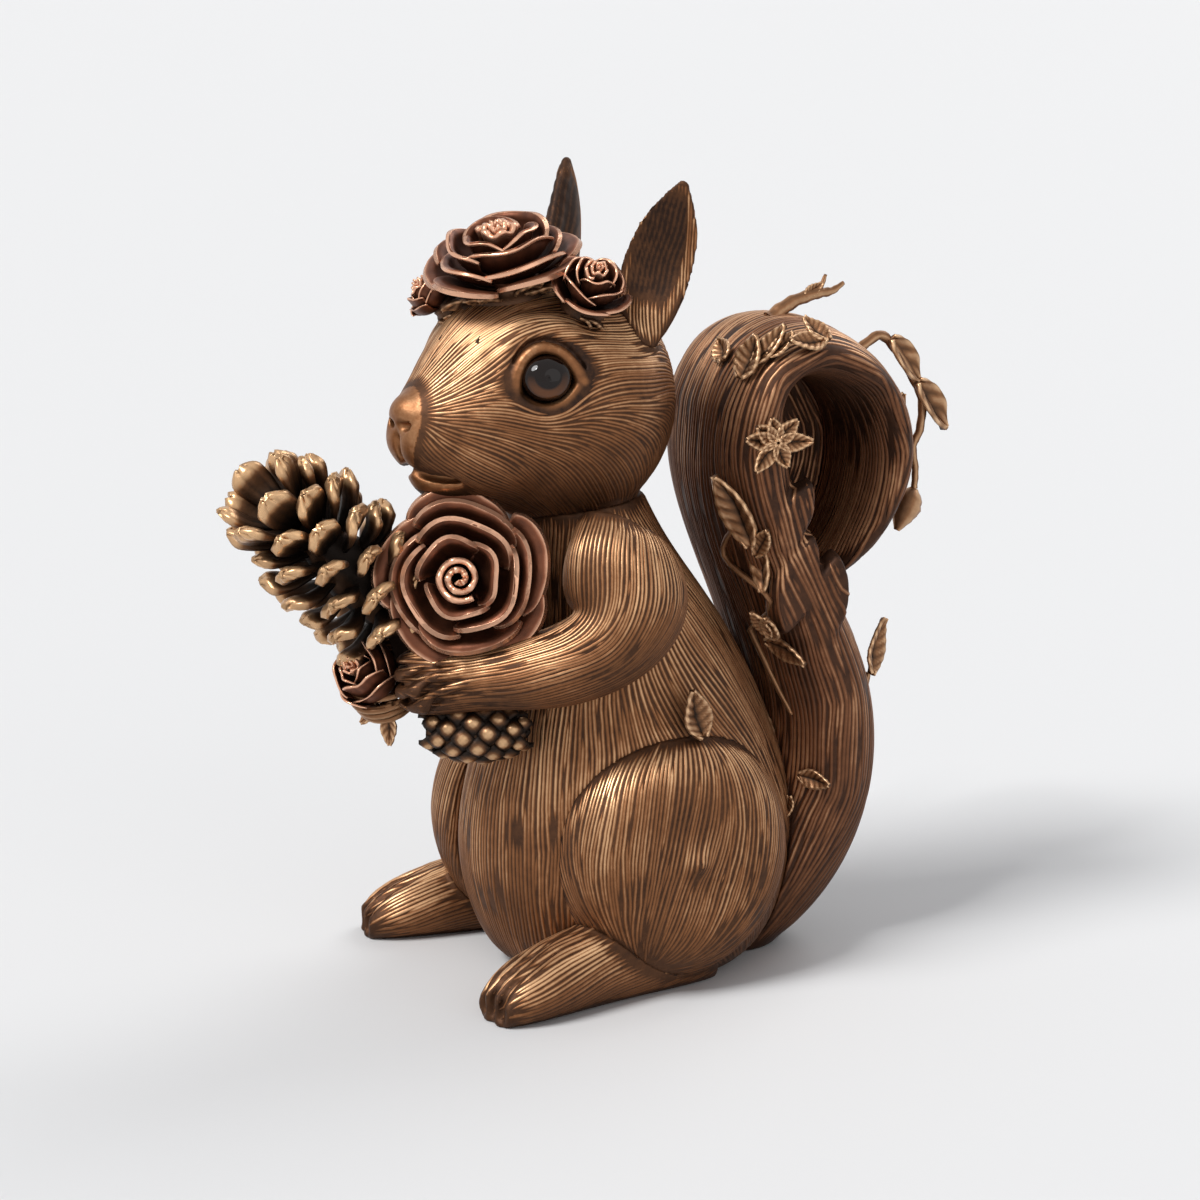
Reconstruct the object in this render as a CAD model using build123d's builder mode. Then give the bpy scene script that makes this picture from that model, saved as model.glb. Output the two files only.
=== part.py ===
from build123d import *
from math import cos, radians, sin
import os

os.makedirs("parts", exist_ok=True)

# The squirrel sits on the plane z = 0, faces -Y and has its own left side towards +X.
# The origin is the middle of the flat sole under its belly. All sizes are in millimetres.
# Cast pieces are cut by their neighbours, so each one seats on the next face to face.

# Torso
body_height = 140.0
body_half_width = 41.0
body_half_depth = 50.0

# Head, measured from its own centre
head_centre_height = 167.0
head_centre_forward = 10.0
head_length = 84.0
head_half_width = 34.0
head_half_height = 34.0
neck_spigot_radius = 9.0
neck_spigot_length = 14.0

# Ears
ear_length = 48.0
ear_half_width = 10.5
ear_half_depth = 6.0

# Eyes, domed glass set in the head, and the lids round them
eye_radius = 6.2
eye_dome = 3.4
eye_seat_depth = 3.0
lid_length = 23.0
lid_rise = 7.6
lid_stand = 2.4

# Haunches and feet
haunch_half_length = 36.0
haunch_half_height = 38.0
haunch_reach = 51.0
haunch_centre_height = 40.0
foot_length = 80.0
foot_half_width = 12.0
foot_half_height = 14.0
toe_slit = 1.6

# Arms and paws
arm_reach = 60.0
arm_half_spread = 40.0
shoulder_height = 124.0
arm_radius = 16.0
finger_slit = 1.1

# Tail
tail_height = 187.0
tail_reach = 100.0
tail_half_width = 30.0
tail_half_thickness = 19.0
tail_floor_thickness = 8.0
tail_tuft_length = 34.0
tail_peg_radius = 7.0
tail_peg_length = 44.0

# Crown of flowers
crown_rose_radius = 20.0
crown_rose_height = 16.0
crown_bud_radius = 10.0
crown_bud_height = 13.0
crown_far_bud_radius = 7.5
crown_far_bud_height = 10.0
crown_band_thickness = 2.2
crown_seat_depth = 12.0

# Posy held in the paws
posy_hub_radius = 13.0
posy_stalk_radius = 4.0
posy_rose_radius = 22.0
posy_rose_height = 15.0
posy_bud_radius = 9.5
posy_bud_height = 16.0
pinecone_length = 57.0
pinecone_radius = 25.0
pinecone_scale_width = 9.0
pinecone_scale_thickness = 2.4
small_cone_length = 28.0
small_cone_radius = 9.0
small_scale_thickness = 1.6
nest_length = 15.0
twig_radius = 1.5

# Leaves and vines
leaf_length = 22.0
leaf_width = 8.0
leaf_thickness = 1.8
leaf_sink = 3.0
crown_leaf_length = 14.0
crown_leaf_width = 7.0
vine_radius = 1.2
vine_bud_radius = 3.4

# Fits
joint_clearance = 0.15
petal_wall = 1.5
cut_overrun = 60.0

# Angles
head_turn_degrees = 8.0
golden_degrees = 137.5


def on(base, x, y, z, turn=(0, 0, 0)):
    """A plane set off from another one, in that plane's own directions."""
    return Plane(base.location * Location((x, y, z), turn))


def curve(points):
    """A smooth line through points."""
    with BuildLine() as line:
        Spline(*points)
    return line.line


def rings(path, table, half_width, half_depth, across=(1, 0, 0)):
    """Ellipses square to a path. A row holds the place along it and the shares of the two half sizes."""
    faces = []
    for along_share, width_share, depth_share in table:
        with BuildSketch(Plane(path @ along_share, x_dir=across, z_dir=path % along_share)) as ring:
            Ellipse(half_width * width_share, half_depth * depth_share)
        faces.append(ring.sketch.face())
    return faces


def stem_form(points, radius, table):
    """A thin faceted stem through points. A row holds the place along it and the share of the radius."""
    path = curve(points)
    sections = []
    for along_share, radius_share in table:
        with BuildSketch(Plane(path @ along_share, z_dir=path % along_share)) as ring:
            RegularPolygon(radius * radius_share, 5)
        sections.append(ring.sketch.face())
    with BuildPart() as stem:
        loft(sections, ruled=True)
    return stem.part


def landing(form, spot, aim, heading):
    """The plane where a line through a spot first meets a form, with its x along a heading."""
    aim = Vector(*aim).normalized()
    point, normal = form.find_intersection_points(Axis(Vector(*spot) - aim * cut_overrun, aim))[0]
    if normal.dot(aim) > 0:
        normal = normal * -1
    heading = Vector(*heading)
    return Plane(point, x_dir=heading - normal * heading.dot(normal), z_dir=normal)


def rise(degrees):
    """A heading in the plane that splits the squirrel, from level at the back towards upright."""
    return Vector(0, cos(radians(degrees)), sin(radians(degrees)))


twig_shares = ((0, 1), (0.5, 0.9), (1, 0.6))
vine_taper_shares = tuple((step / 9, 1 - step / 40) for step in range(10))
leaf_outline_shares = ((0.0, 0.16), (0.22, 0.84), (0.48, 1.0), (0.76, 0.62), (1.0, 0.10))
leaf_top_share = 0.72


def leaf_form(seat, length, width, sink):
    """A pointed leaf with bevelled edges, lying on its seat with its stalk end at the seat's origin."""
    sections = []
    for height, size_share in ((-sink, 1), (leaf_thickness, leaf_top_share)):
        middle = length * (1 - size_share) / 2
        rim = []
        for along_share, side_share in leaf_outline_shares:
            rim.append((middle + length * size_share * along_share, width / 2 * size_share * side_share))
        mirrored = [(along, -side) for along, side in reversed(rim)]
        with BuildSketch(seat.offset(height)) as outline:
            Polygon(*(rim + mirrored), align=None)
        sections.append(outline.sketch.face())
    with BuildPart() as leaf:
        loft(sections, ruled=True)
    return leaf.part


# Torso: height share, forward share of the centre, shares of the half depth and half width
torso_shares = (
    (0.00, -0.18, 0.62, 0.74),
    (0.05, -0.18, 0.82, 0.90),
    (0.16, -0.18, 0.96, 1.00),
    (0.32, -0.18, 1.00, 1.00),
    (0.50, -0.17, 0.87, 0.93),
    (0.64, -0.13, 0.73, 0.86),
    (0.79, -0.03, 0.57, 0.76),
    (0.91, 0.08, 0.45, 0.62),
    (1.00, 0.14, 0.38, 0.50),
)

sections = []
for height_share, forward_share, depth_share, width_share in torso_shares:
    with BuildSketch(Plane((0, -body_half_depth * forward_share, body_height * height_share))) as section:
        Ellipse(body_half_width * width_share, body_half_depth * depth_share)
    sections.append(section.sketch.face())
with BuildPart() as torso:
    loft(sections)

# Head: forward share of the length, rise share, shares of the half height and half width
head_place = Plane(
    origin=(0, -head_centre_forward, head_centre_height),
    x_dir=(cos(radians(head_turn_degrees)), sin(radians(head_turn_degrees)), 0),
    z_dir=(0, 0, 1),
)
muzzle_tip_shares = (0.645, 0.00)
skull_back_shares = (-0.345, 0.03)
head_shares = (
    (0.615, -0.12, 0.31, 0.28),
    (0.510, -0.10, 0.58, 0.50),
    (0.350, 0.03, 0.83, 0.76),
    (0.160, 0.03, 0.97, 0.94),
    (-0.030, 0.00, 1.00, 1.00),
    (-0.180, 0.02, 0.86, 0.86),
    (-0.290, 0.03, 0.56, 0.56),
)


def head_point(side_share, forward_share, rise_share):
    """A point in the head, by shares of its half width, length and half height."""
    side = head_half_width * side_share
    back = -head_length * forward_share
    return on(head_place, side, back, head_half_height * rise_share).origin


def head_direction(side, forward, rise):
    """A direction given in the head's own terms."""
    return on(head_place, side, -forward, rise).origin - head_place.origin


def head_form(skin):
    """The lofted head, thickened by a skin."""
    sections = [Vertex(*head_point(0, *muzzle_tip_shares))]
    for forward_share, rise_share, height_share, width_share in head_shares:
        origin = (0, -head_length * forward_share, head_half_height * rise_share)
        with BuildSketch(on(head_place, *origin, (90, 0, 0))) as section:
            Ellipse(head_half_width * width_share + skin, head_half_height * height_share + skin)
        sections.append(section.sketch.face())
    sections.append(Vertex(*head_point(0, *skull_back_shares)))
    with BuildPart() as form:
        loft(sections)
    return form.part


skull = head_form(0)

# Eyes: side, forward and rise shares of the head, and the way they look
eye_place_shares = (0.745, 0.265, 0.34)
eye_gaze = (0.90, 0.40, 0.20)


def eye_plane(side):
    """The plane of an eye's rim, looking outwards."""
    side_share, forward_share, rise_share = eye_place_shares
    out, forward, rise = eye_gaze
    lengthwise = head_direction(0, 1, 0)
    rim = head_point(side * side_share, forward_share, rise_share)
    return Plane(rim, x_dir=lengthwise, z_dir=head_direction(side * out, forward, rise))


def eye_form(side):
    """A domed glass eye with a flat back."""
    rim = eye_plane(side)
    dome_radius = (eye_radius**2 + eye_dome**2) / (2 * eye_dome)
    with BuildPart() as eye:
        with BuildSketch(Plane(rim.origin, x_dir=rim.x_dir, z_dir=rim.y_dir)):
            with BuildLine():
                Line((0, eye_seat_depth), (eye_radius, eye_seat_depth))
                Line((eye_radius, eye_seat_depth), (eye_radius, 0))
                RadiusArc((eye_radius, 0), (0, -eye_dome), dome_radius)
                Line((0, -eye_dome), (0, eye_seat_depth))
            make_face()
        revolve(axis=Axis(rim.origin, rim.z_dir))
    return eye.part


def lid_form(side):
    """The almond-shaped lids that stand proud round an eye."""
    rim = eye_plane(side)
    with BuildPart() as lids:
        with BuildSketch(rim.offset(-eye_seat_depth)) as outline:
            with BuildLine():
                SagittaArc((-lid_length / 2, 0), (lid_length / 2, 0), lid_rise)
                SagittaArc((lid_length / 2, 0), (-lid_length / 2, 0), lid_rise)
            make_face()
        extrude(amount=eye_seat_depth + lid_stand, taper=16)
    return lids.part


# Ears: place on the head, then the place up the ear and shares of its half width and half depth
ear_root_shares = (0.66, -0.09, 0.52)
ear_tilt_degrees = (-15, 9)
ear_face_degrees = 50.0
ear_shares = (
    # Up the ear, half width, back of the cup and its front, which is negative where it is hollow
    (0.04, 0.60, 0.85, 0.70),
    (0.20, 0.84, 1.05, 0.12),
    (0.42, 1.00, 1.10, -0.45),
    (0.66, 0.92, 0.95, -0.45),
    (0.86, 0.56, 0.60, -0.20),
    (1.00, 0.12, 0.20, 0.10),
)


def ear_plane(side):
    """The plane at an ear's root: its normal runs up the ear and its -Y is the open side."""
    side_share, forward_share, rise_share = ear_root_shares
    root = head_point(side * side_share, forward_share, rise_share)
    back, out = ear_tilt_degrees
    leaned = on(Plane(root, x_dir=head_place.x_dir, z_dir=(0, 0, 1)), 0, 0, 0, (back, side * out, 0))
    return on(leaned, 0, 0, 0, (0, 0, side * ear_face_degrees))


def ear_form(root):
    """A cupped, pointed ear lofted through crescents."""
    sections = []
    for up_share, width_share, back_share, front_share in ear_shares:
        half_width = ear_half_width * width_share
        with BuildSketch(on(root, 0, 0, ear_length * up_share)) as section:
            with BuildLine():
                ThreePointArc((-half_width, 0), (0, ear_half_depth * back_share), (half_width, 0))
                ThreePointArc((half_width, 0), (0, -ear_half_depth * front_share), (-half_width, 0))
            make_face()
        sections.append(section.sketch.face())
    with BuildPart() as ear:
        loft(sections)
    return ear.part


# Haunch: share of its reach, shares of the half length and half height, and how far back each side sits
haunch_shares = (
    (0.40, 0.95, 0.97),
    (0.62, 0.97, 0.98),
    (0.80, 0.86, 0.88),
    (0.92, 0.62, 0.64),
)
haunch_back_shares = {1: 0.25, -1: -0.12}


def haunch_form(side):
    """A rounded haunch that grows out of the torso's side."""
    centre = (0, haunch_half_length * haunch_back_shares[side], haunch_centre_height)
    flank = Plane(centre, x_dir=(0, 1, 0), z_dir=(side, 0, 0))
    sections = []
    for reach_share, length_share, height_share in haunch_shares:
        with BuildSketch(flank.offset(haunch_reach * reach_share)) as section:
            Ellipse(haunch_half_length * length_share, haunch_half_height * height_share)
        sections.append(section.sketch.face())
    with BuildPart() as haunch:
        loft(sections + [Vertex(*flank.offset(haunch_reach).origin)])
        split(bisect_by=Plane.XY, keep=Keep.TOP)
    return haunch.part


haunches = {1: haunch_form(1), -1: haunch_form(-1)}

# Foot: heel and toe by shares of the haunch's reach and the foot's length, for each side
foot_heel_shares = {1: (0.56, 0.30), -1: (0.62, 0.26)}
foot_toe_shares = {1: (0.80, -0.66), -1: (0.94, -0.71)}
foot_shares = (
    (0.02, 0.40, 0.55),
    (0.25, 0.80, 1.00),
    (0.55, 0.84, 0.90),
    (0.84, 0.95, 0.66),
    (0.99, 0.58, 0.36),
)
toe_slit_shares = (-0.48, 0.0, 0.48)
toe_length_share = 0.24
foot_sink_share = 0.12


def foot_form(side):
    """A long hind foot with a flat sole and four toes parted by slits."""
    sole = -foot_half_height * foot_sink_share
    heel_out_share, heel_back_share = foot_heel_shares[side]
    toe_out_share, toe_back_share = foot_toe_shares[side]
    heel = Vector(side * haunch_reach * heel_out_share, foot_length * heel_back_share, 0)
    toe = Vector(side * haunch_reach * toe_out_share, foot_length * toe_back_share, 0)
    step = toe - heel
    across = step.cross(Vector(0, 0, 1))
    sections = []
    for along_share, width_share, height_share in foot_shares:
        half_height = foot_half_height * height_share
        centre = heel + step * along_share + Vector(0, 0, sole + half_height)
        with BuildSketch(Plane(centre, x_dir=across, z_dir=step)) as section:
            Ellipse(foot_half_width * width_share, half_height)
        sections.append(section.sketch.face())
    front = Plane(toe, x_dir=across, z_dir=(0, 0, 1))
    with BuildPart() as foot:
        loft(sections)
        for slit_share in toe_slit_shares:
            with BuildSketch(on(front, foot_half_width * slit_share, 0, 0)) as slit:
                Polygon((-toe_slit, -toe_slit), (toe_slit, -toe_slit), (0, foot_length * toe_length_share), align=None)
            extrude(amount=foot_half_height * 2, mode=Mode.SUBTRACT)
        split(bisect_by=Plane.XY, keep=Keep.TOP)
    return foot.part


# Arm: its path by shares of the spread, the reach and the shoulder's height, then its rings
arm_path_shares = (
    (0.64, 0.08, 1.11),
    (0.78, 0.15, 1.02),
    (0.90, 0.13, 0.92),
    (0.95, 0.22, 0.84),
    (0.85, 0.42, 0.80),
    (0.68, 0.62, 0.775),
    (0.50, 0.82, 0.76),
    (0.22, 1.12, 0.75),
)
arm_shares = (
    (0.04, 0.60, 0.66),
    (0.15, 0.88, 1.00),
    (0.30, 0.93, 0.97),
    (0.52, 0.68, 0.72),
    (0.76, 0.51, 0.57),
    (0.91, 0.46, 0.60),
    (0.99, 0.26, 0.40),
)
finger_slit_shares = (-0.30, 0.0, 0.30)
finger_length_share = 0.20


def arm_form(side):
    """An arm folded across the chest, ending in a paw with four fingers parted by slits."""
    points = []
    for out_share, forward_share, height_share in arm_path_shares:
        x = side * arm_half_spread * out_share
        points.append((x, -arm_reach * forward_share, shoulder_height * height_share))
    path = curve(points)
    sections = []
    for along_share, width_share, depth_share in arm_shares:
        heading = path % along_share
        across = heading.cross(Vector(side, 0, 0))
        with BuildSketch(Plane(path @ along_share, x_dir=across, z_dir=heading)) as ring:
            Ellipse(arm_radius * depth_share, arm_radius * width_share)
        sections.append(ring.sketch.face())
    tip = path % 1
    paw = Plane(path @ 1, x_dir=tip.cross(Vector(side, 0, 0)), z_dir=tip)
    finger_length = arm_reach * finger_length_share
    with BuildPart() as arm:
        loft(sections)
        for slit_share in finger_slit_shares:
            level = on(paw, arm_radius * slit_share, -arm_radius, 0, (-90, 0, 0))
            with BuildSketch(level) as slit:
                Polygon((-finger_slit, -finger_slit), (finger_slit, -finger_slit), (0, finger_length), align=None)
            extrude(amount=arm_radius * 2, mode=Mode.SUBTRACT)
    return arm.part


arms = {1: arm_form(1), -1: arm_form(-1)}

# Tail: its path by shares of the reach and the height, then its rings in two runs that meet at the crest
tail_path_shares = (
    (0.38, -0.01),
    (0.53, 0.11),
    (0.67, 0.27),
    (0.665, 0.41),
    (0.57, 0.55),
    (0.47, 0.67),
    (0.40, 0.83),
    (0.46, 0.925),
    (0.60, 0.955),
    (0.765, 0.92),
    (0.865, 0.80),
    (0.82, 0.68),
    (0.71, 0.60),
)
tail_stem_shares = (
    (0.00, 0.50, 0.60),
    (0.08, 0.75, 0.93),
    (0.17, 0.92, 1.00),
    (0.28, 1.00, 0.88),
    (0.39, 1.00, 0.74),
    (0.50, 1.00, 0.64),
    (0.61, 0.98, 0.54),
)
tail_curl_shares = (
    (0.61, 0.98, 0.54),
    (0.72, 0.95, 0.43),
    (0.82, 0.91, 0.36),
    (0.93, 0.76, 0.30),
    (1.00, 0.48, 0.22),
)
tail_floor_shares = ((0.52, 0.66), (0.43, 0.82), (0.50, 0.93), (0.66, 0.95), (0.80, 0.88), (0.82, 0.74), (0.70, 0.62))
tail_floor_place_share = -0.78
tuft_out_share = 1.02
tuft_shares = (
    # Root by the tail's reach and height, then its heading and the length's share
    (0.445, 0.52, 72, 1.00),
    (0.590, 0.50, 83, 0.88),
    (0.430, 0.65, 64, 0.76),
)
tuft_width_share = 0.22
tail_path = curve([(0, tail_reach * back, tail_height * up) for back, up in tail_path_shares])

with BuildPart() as tail_cast:
    loft(rings(tail_path, tail_stem_shares, tail_half_width, tail_half_thickness))
    loft(rings(tail_path, tail_curl_shares, tail_half_width, tail_half_thickness))
    floor_plane = Plane.YZ.offset(tail_half_width * tail_floor_place_share)
    with BuildSketch(floor_plane):
        with BuildLine():
            Spline(*[(tail_reach * back, tail_height * up) for back, up in tail_floor_shares], periodic=True)
        make_face()
    extrude(amount=tail_floor_thickness)
    for back_share, up_share, heading_degrees, length_share in tuft_shares:
        root = Vector(tail_half_width * tuft_out_share, tail_reach * back_share, tail_height * up_share)
        length = tail_tuft_length * length_share
        with BuildSketch(Plane(root, x_dir=rise(heading_degrees), z_dir=(1, 0, 0)).offset(-length * tuft_width_share)):
            with BuildLine():
                SagittaArc((0, 0), (length, 0), length * tuft_width_share)
                SagittaArc((length, 0), (0, 0), length * tuft_width_share)
            make_face()
        extrude(amount=length * tuft_width_share, taper=12)
    split(bisect_by=Plane.XY, keep=Keep.TOP)

# Roses. A whorl: shares of the radius and height, petals, half arc and lean in degrees
rose_whorl_shares = (
    (0.20, 0.94, 2, 85, 4),
    (0.36, 0.95, 3, 64, 10),
    (0.50, 0.88, 4, 54, 24),
    (0.60, 0.76, 5, 48, 44),
)
bud_whorl_shares = ((0.38, 1.00, 2, 82, 2), (0.64, 0.84, 4, 52, 16))
small_bud_whorl_shares = ((0.40, 1.00, 2, 82, 4), (0.66, 0.84, 3, 58, 16))
rose_heart_shares = ((0.0, 0.61), (0.10, 0.58), (0.34, 0.44), (0.86, 0.10))
rose_room_shares = ((0.0, 0.66), (0.64, 1.20), (1.0, 0.90))
petal_outline_shares = ((0.0, 0.62), (0.45, 1.0), (0.80, 0.92), (1.0, 0.45))
petal_steps = 4


def petal_form(seat, radius, height, half_arc_degrees, lean_degrees):
    """A curved, leaning petal: a part ring raised to its height, then trimmed to a rounded outline."""
    leaned = on(on(seat, radius, 0, 0), 0, 0, 0, (0, lean_degrees, 0))
    bends = [radians(half_arc_degrees * (2 * step / petal_steps - 1)) for step in range(petal_steps + 1)]
    outer = [(radius * cos(bend) - radius, radius * sin(bend)) for bend in bends]
    hollow = radius - petal_wall
    inner = [(hollow * cos(bend) - radius, hollow * sin(bend)) for bend in reversed(bends)]
    half_width = radius * sin(radians(half_arc_degrees))
    rim = [(-height * up_share, half_width * side_share) for up_share, side_share in petal_outline_shares]
    mirrored = [(down, -side) for down, side in reversed(rim)]
    with BuildPart() as petal:
        with BuildSketch(leaned):
            Polygon(*(outer + inner), align=None)
        extrude(amount=height)
        with BuildSketch(on(leaned, -radius, 0, 0, (0, 90, 0))):
            Polygon(*(rim + mirrored), align=None)
        extrude(amount=radius * 3, mode=Mode.INTERSECT)
    return petal.part


def turned_form(seat, length, radius, table, sides=8):
    """A faceted spindle along a seat's normal. A row holds the share of its length and of its radius."""
    sections = []
    for up_share, radius_share in table:
        with BuildSketch(seat.offset(length * up_share)) as ring:
            RegularPolygon(radius * radius_share, sides)
        sections.append(ring.sketch.face())
    with BuildPart() as spindle:
        loft(sections, ruled=True)
    return spindle.part


def rose_form(seat, radius, height, whorls):
    """A flower of whorls of petals round a tapered heart, opening along the seat's normal."""
    petals = []
    for number, (radius_share, height_share, count, half_arc_degrees, lean_degrees) in enumerate(whorls):
        for petal in range(count):
            turned = on(seat, 0, 0, 0, (0, 0, 360 / count * petal + golden_degrees * number))
            tall = height * height_share / cos(radians(lean_degrees)) ** 0.5
            petals.append(petal_form(turned, radius * radius_share, tall, half_arc_degrees, lean_degrees))
    with BuildPart() as rose:
        add(turned_form(seat, height, radius, rose_heart_shares))
        add(petals)
    return rose.part


# Cones: shares of the core along and across, then how a scale's outline widens
cone_core_shares = ((0.0, 0.60), (0.15, 1.0), (0.50, 0.96), (0.80, 0.66), (1.0, 0.26))
scale_outline_shares = ((0.0, -0.18), (0.78, -0.48), (1.05, -0.16), (1.05, 0.16), (0.78, 0.48), (0.0, 0.18))


def cone_form(seat, length, radius, core_share, scales, scale_width, scale_thickness, lean_degrees):
    """A cone with scales set in a spiral round a tapered core that runs along the seat's normal."""
    plates = []
    for number in range(scales):
        up_share = (number + 1) / (scales + 1)
        width = scale_width * (1 - 0.45 * up_share**3)
        reach = radius * (1 - 0.5 * up_share**2) * min(1, 0.7 + 1.8 * up_share)
        turned = on(seat, 0, 0, length * up_share * 0.93, (0, 0, golden_degrees * number))
        leaned = on(turned, 0, 0, 0, (0, -lean_degrees - 20 * up_share, 0))
        corners = [(reach * along_share, width * side_share) for along_share, side_share in scale_outline_shares]
        with BuildSketch(leaned) as outline:
            Polygon(*corners, align=None)
        plates.append(extrude(outline.sketch.face(), amount=scale_thickness, mode=Mode.PRIVATE))
    with BuildPart() as cone:
        add(turned_form(seat, length, radius * core_share, cone_core_shares))
        add(plates)
    return cone.part


# Crown: where each flower sits by shares of the head, and which way it opens
crown_band_place_shares = (0.10, 0.18)
crown_band_size_shares = (0.62, 0.22)
crown_rose_place_shares = (-0.04, 0.225, 1.07)
crown_rose_opens = (0.14, 0.30, 1.0)
crown_bud_place_shares = (0.60, 0.07, 0.93)
crown_bud_opens = (0.62, 0.10, 0.80)
crown_far_bud_place_shares = ((-0.44, 0.37, 0.84), (-0.60, 0.18, 0.88))
crown_far_bud_opens = ((-0.35, 0.75, 0.60), (-0.70, 0.40, 0.60))
crown_seat_share = 0.66
crown_leaf_shares = (
    # Side and forward shares of the head at the leaf's stalk, and its heading in the head's plan
    (0.26, 0.38, -62),
    (0.46, 0.24, -25),
    (0.62, -0.04, 40),
    (-0.06, 0.42, -98),
    (-0.42, 0.06, 130),
    (0.16, 0.02, 84),
    (-0.14, 0.06, 104),
)


def crown_seat(place_shares, opens):
    """The plane a flower of the crown sits on, opening its own way."""
    return Plane(head_point(*place_shares), z_dir=head_direction(*opens))


def crown_flower(place_shares, opens, radius, height, whorls):
    """A flower of the crown on its seat."""
    return rose_form(crown_seat(place_shares, opens), radius, height, whorls)


# The three kinds of seat on the crown's band, each with its flower's radius
crown_seats = [
    (crown_seat(crown_rose_place_shares, crown_rose_opens), crown_rose_radius),
    (crown_seat(crown_bud_place_shares, crown_bud_opens), crown_bud_radius),
]
for place_shares, opens in zip(crown_far_bud_place_shares, crown_far_bud_opens):
    crown_seats.append((crown_seat(place_shares, opens), crown_far_bud_radius))

crown_band_skin = head_form(crown_band_thickness)
with BuildPart() as crown_band_form:
    add(crown_band_skin)
    side_share, forward_share = crown_band_place_shares
    middle = on(head_place, head_half_width * side_share, -head_length * forward_share, head_half_height / 2)
    with BuildSketch(middle):
        Ellipse(head_half_width * crown_band_size_shares[0], head_length * crown_band_size_shares[1])
    extrude(amount=head_half_height, mode=Mode.INTERSECT)
    for seat, flower_radius in crown_seats:
        with BuildSketch(seat):
            RegularPolygon(flower_radius * crown_seat_share, 10)
        extrude(amount=-crown_seat_depth)
    for seat, flower_radius in crown_seats:
        with BuildSketch(seat):
            RegularPolygon(flower_radius, 10)
        extrude(amount=flower_radius, mode=Mode.SUBTRACT)

# Posy: its hub lies between the paws, and all else is placed by shares of the hub's radius from its middle
posy_middle_shares = (-0.03, 0.87, 0.72)
posy_middle = Vector(
    arm_half_spread * posy_middle_shares[0],
    -arm_reach * posy_middle_shares[1],
    body_height * posy_middle_shares[2],
)
posy_hub_shares = ((-1.2, 0.40), (-0.45, 0.80), (0.2, 0.85), (0.8, 0.62))
posy_stalk_shares = ((0, 1), (1, 1))
posy_rose_place_shares = (1.24, 0.33, 1.64)
posy_rose_opens = (0.86, -0.47, 0.19)
pinecone_place_shares = (-0.25, -0.57, 0.57)
pinecone_heading = (0, -0.71, 0.71)
posy_bud_place_shares = (-0.06, -1.02, -0.80)
posy_bud_opens = (0.30, -0.80, 0.45)
small_cone_place_shares = (0.89, -0.45, -1.72)
small_cone_heading = (0.45, 1.0, -0.04)
nest_place_shares = (-0.06, -0.95, -1.05)
nest_shares = (
    # Which way each twig or leaf of the nest points, and its share of the nest's length
    ((0.35, -0.90, -0.20), 1.0),
    ((0.60, -0.75, -0.55), 0.9),
    ((-0.10, -1.00, -0.30), 1.0),
    ((-0.55, -0.85, 0.00), 0.9),
    ((0.10, -0.80, -0.70), 0.8),
)
nest_leaf_shares = (((0.75, -0.50, -0.50), 0.9), ((0.45, -0.20, -1.00), 1.1), ((-0.30, -0.80, -0.60), 0.9))


def posy_point(shares):
    """A point in the posy, by shares of its hub's radius."""
    return posy_middle + Vector(*shares) * posy_hub_radius


def posy_seat(place_shares, heading):
    """The plane that a piece of the posy sits on."""
    return Plane(posy_point(place_shares), z_dir=heading)


rose_seat = posy_seat(posy_rose_place_shares, posy_rose_opens)
cone_seat = posy_seat(pinecone_place_shares, pinecone_heading)
bud_seat = posy_seat(posy_bud_place_shares, posy_bud_opens)
hub_seat = Plane(posy_middle, z_dir=pinecone_heading)
rose_room = turned_form(rose_seat, posy_rose_height, posy_rose_radius, rose_room_shares)
with BuildPart() as posy_hub_form:
    add(turned_form(hub_seat, posy_hub_radius, posy_hub_radius, posy_hub_shares))
    for seat in (rose_seat, bud_seat):
        step = seat.origin - posy_middle
        reach = step.length + posy_stalk_radius
        add(turned_form(Plane(posy_middle, z_dir=step), reach, posy_stalk_radius, posy_stalk_shares))
    for seat in (rose_seat, bud_seat, cone_seat):
        with BuildSketch(seat):
            RegularPolygon(pinecone_radius, 4)
        extrude(amount=posy_hub_radius, mode=Mode.SUBTRACT)

pinecone_form = cone_form(
    cone_seat, pinecone_length, pinecone_radius, 0.36, 40, pinecone_scale_width, pinecone_scale_thickness, 24
)
small_cone_form = cone_form(
    posy_seat(small_cone_place_shares, small_cone_heading),
    small_cone_length,
    small_cone_radius,
    0.62,
    20,
    small_cone_radius,
    small_scale_thickness,
    40,
)
posy_rose_form = rose_form(rose_seat, posy_rose_radius, posy_rose_height, rose_whorl_shares)
posy_bud_form = rose_form(bud_seat, posy_bud_radius, posy_bud_height, bud_whorl_shares)


def save(piece, name):
    """Label a finished piece and write it."""
    piece.part.label = name
    export_step(piece.part, f"parts/{name}.step")


# Neck spigot and tail peg, the pins that the castings are joined by
neck_socket = Plane((0, -body_half_depth * torso_shares[-1][1], body_height - neck_spigot_length))
tail_root_back_share, tail_root_up_share = tail_path_shares[1]
tail_root = Vector(0, tail_reach * tail_root_back_share + tail_peg_radius * 2, tail_height * tail_root_up_share)
tail_socket = Plane(tail_root, z_dir=(0, -1, 0))

with BuildPart() as head:
    add(skull)
    for side in (1, -1):
        add(lid_form(side))
    for side in (1, -1):
        add(eye_form(side), mode=Mode.SUBTRACT)
    with BuildSketch(neck_socket):
        Circle(neck_spigot_radius)
    extrude(amount=neck_spigot_length * 2)
save(head, "head")

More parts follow.
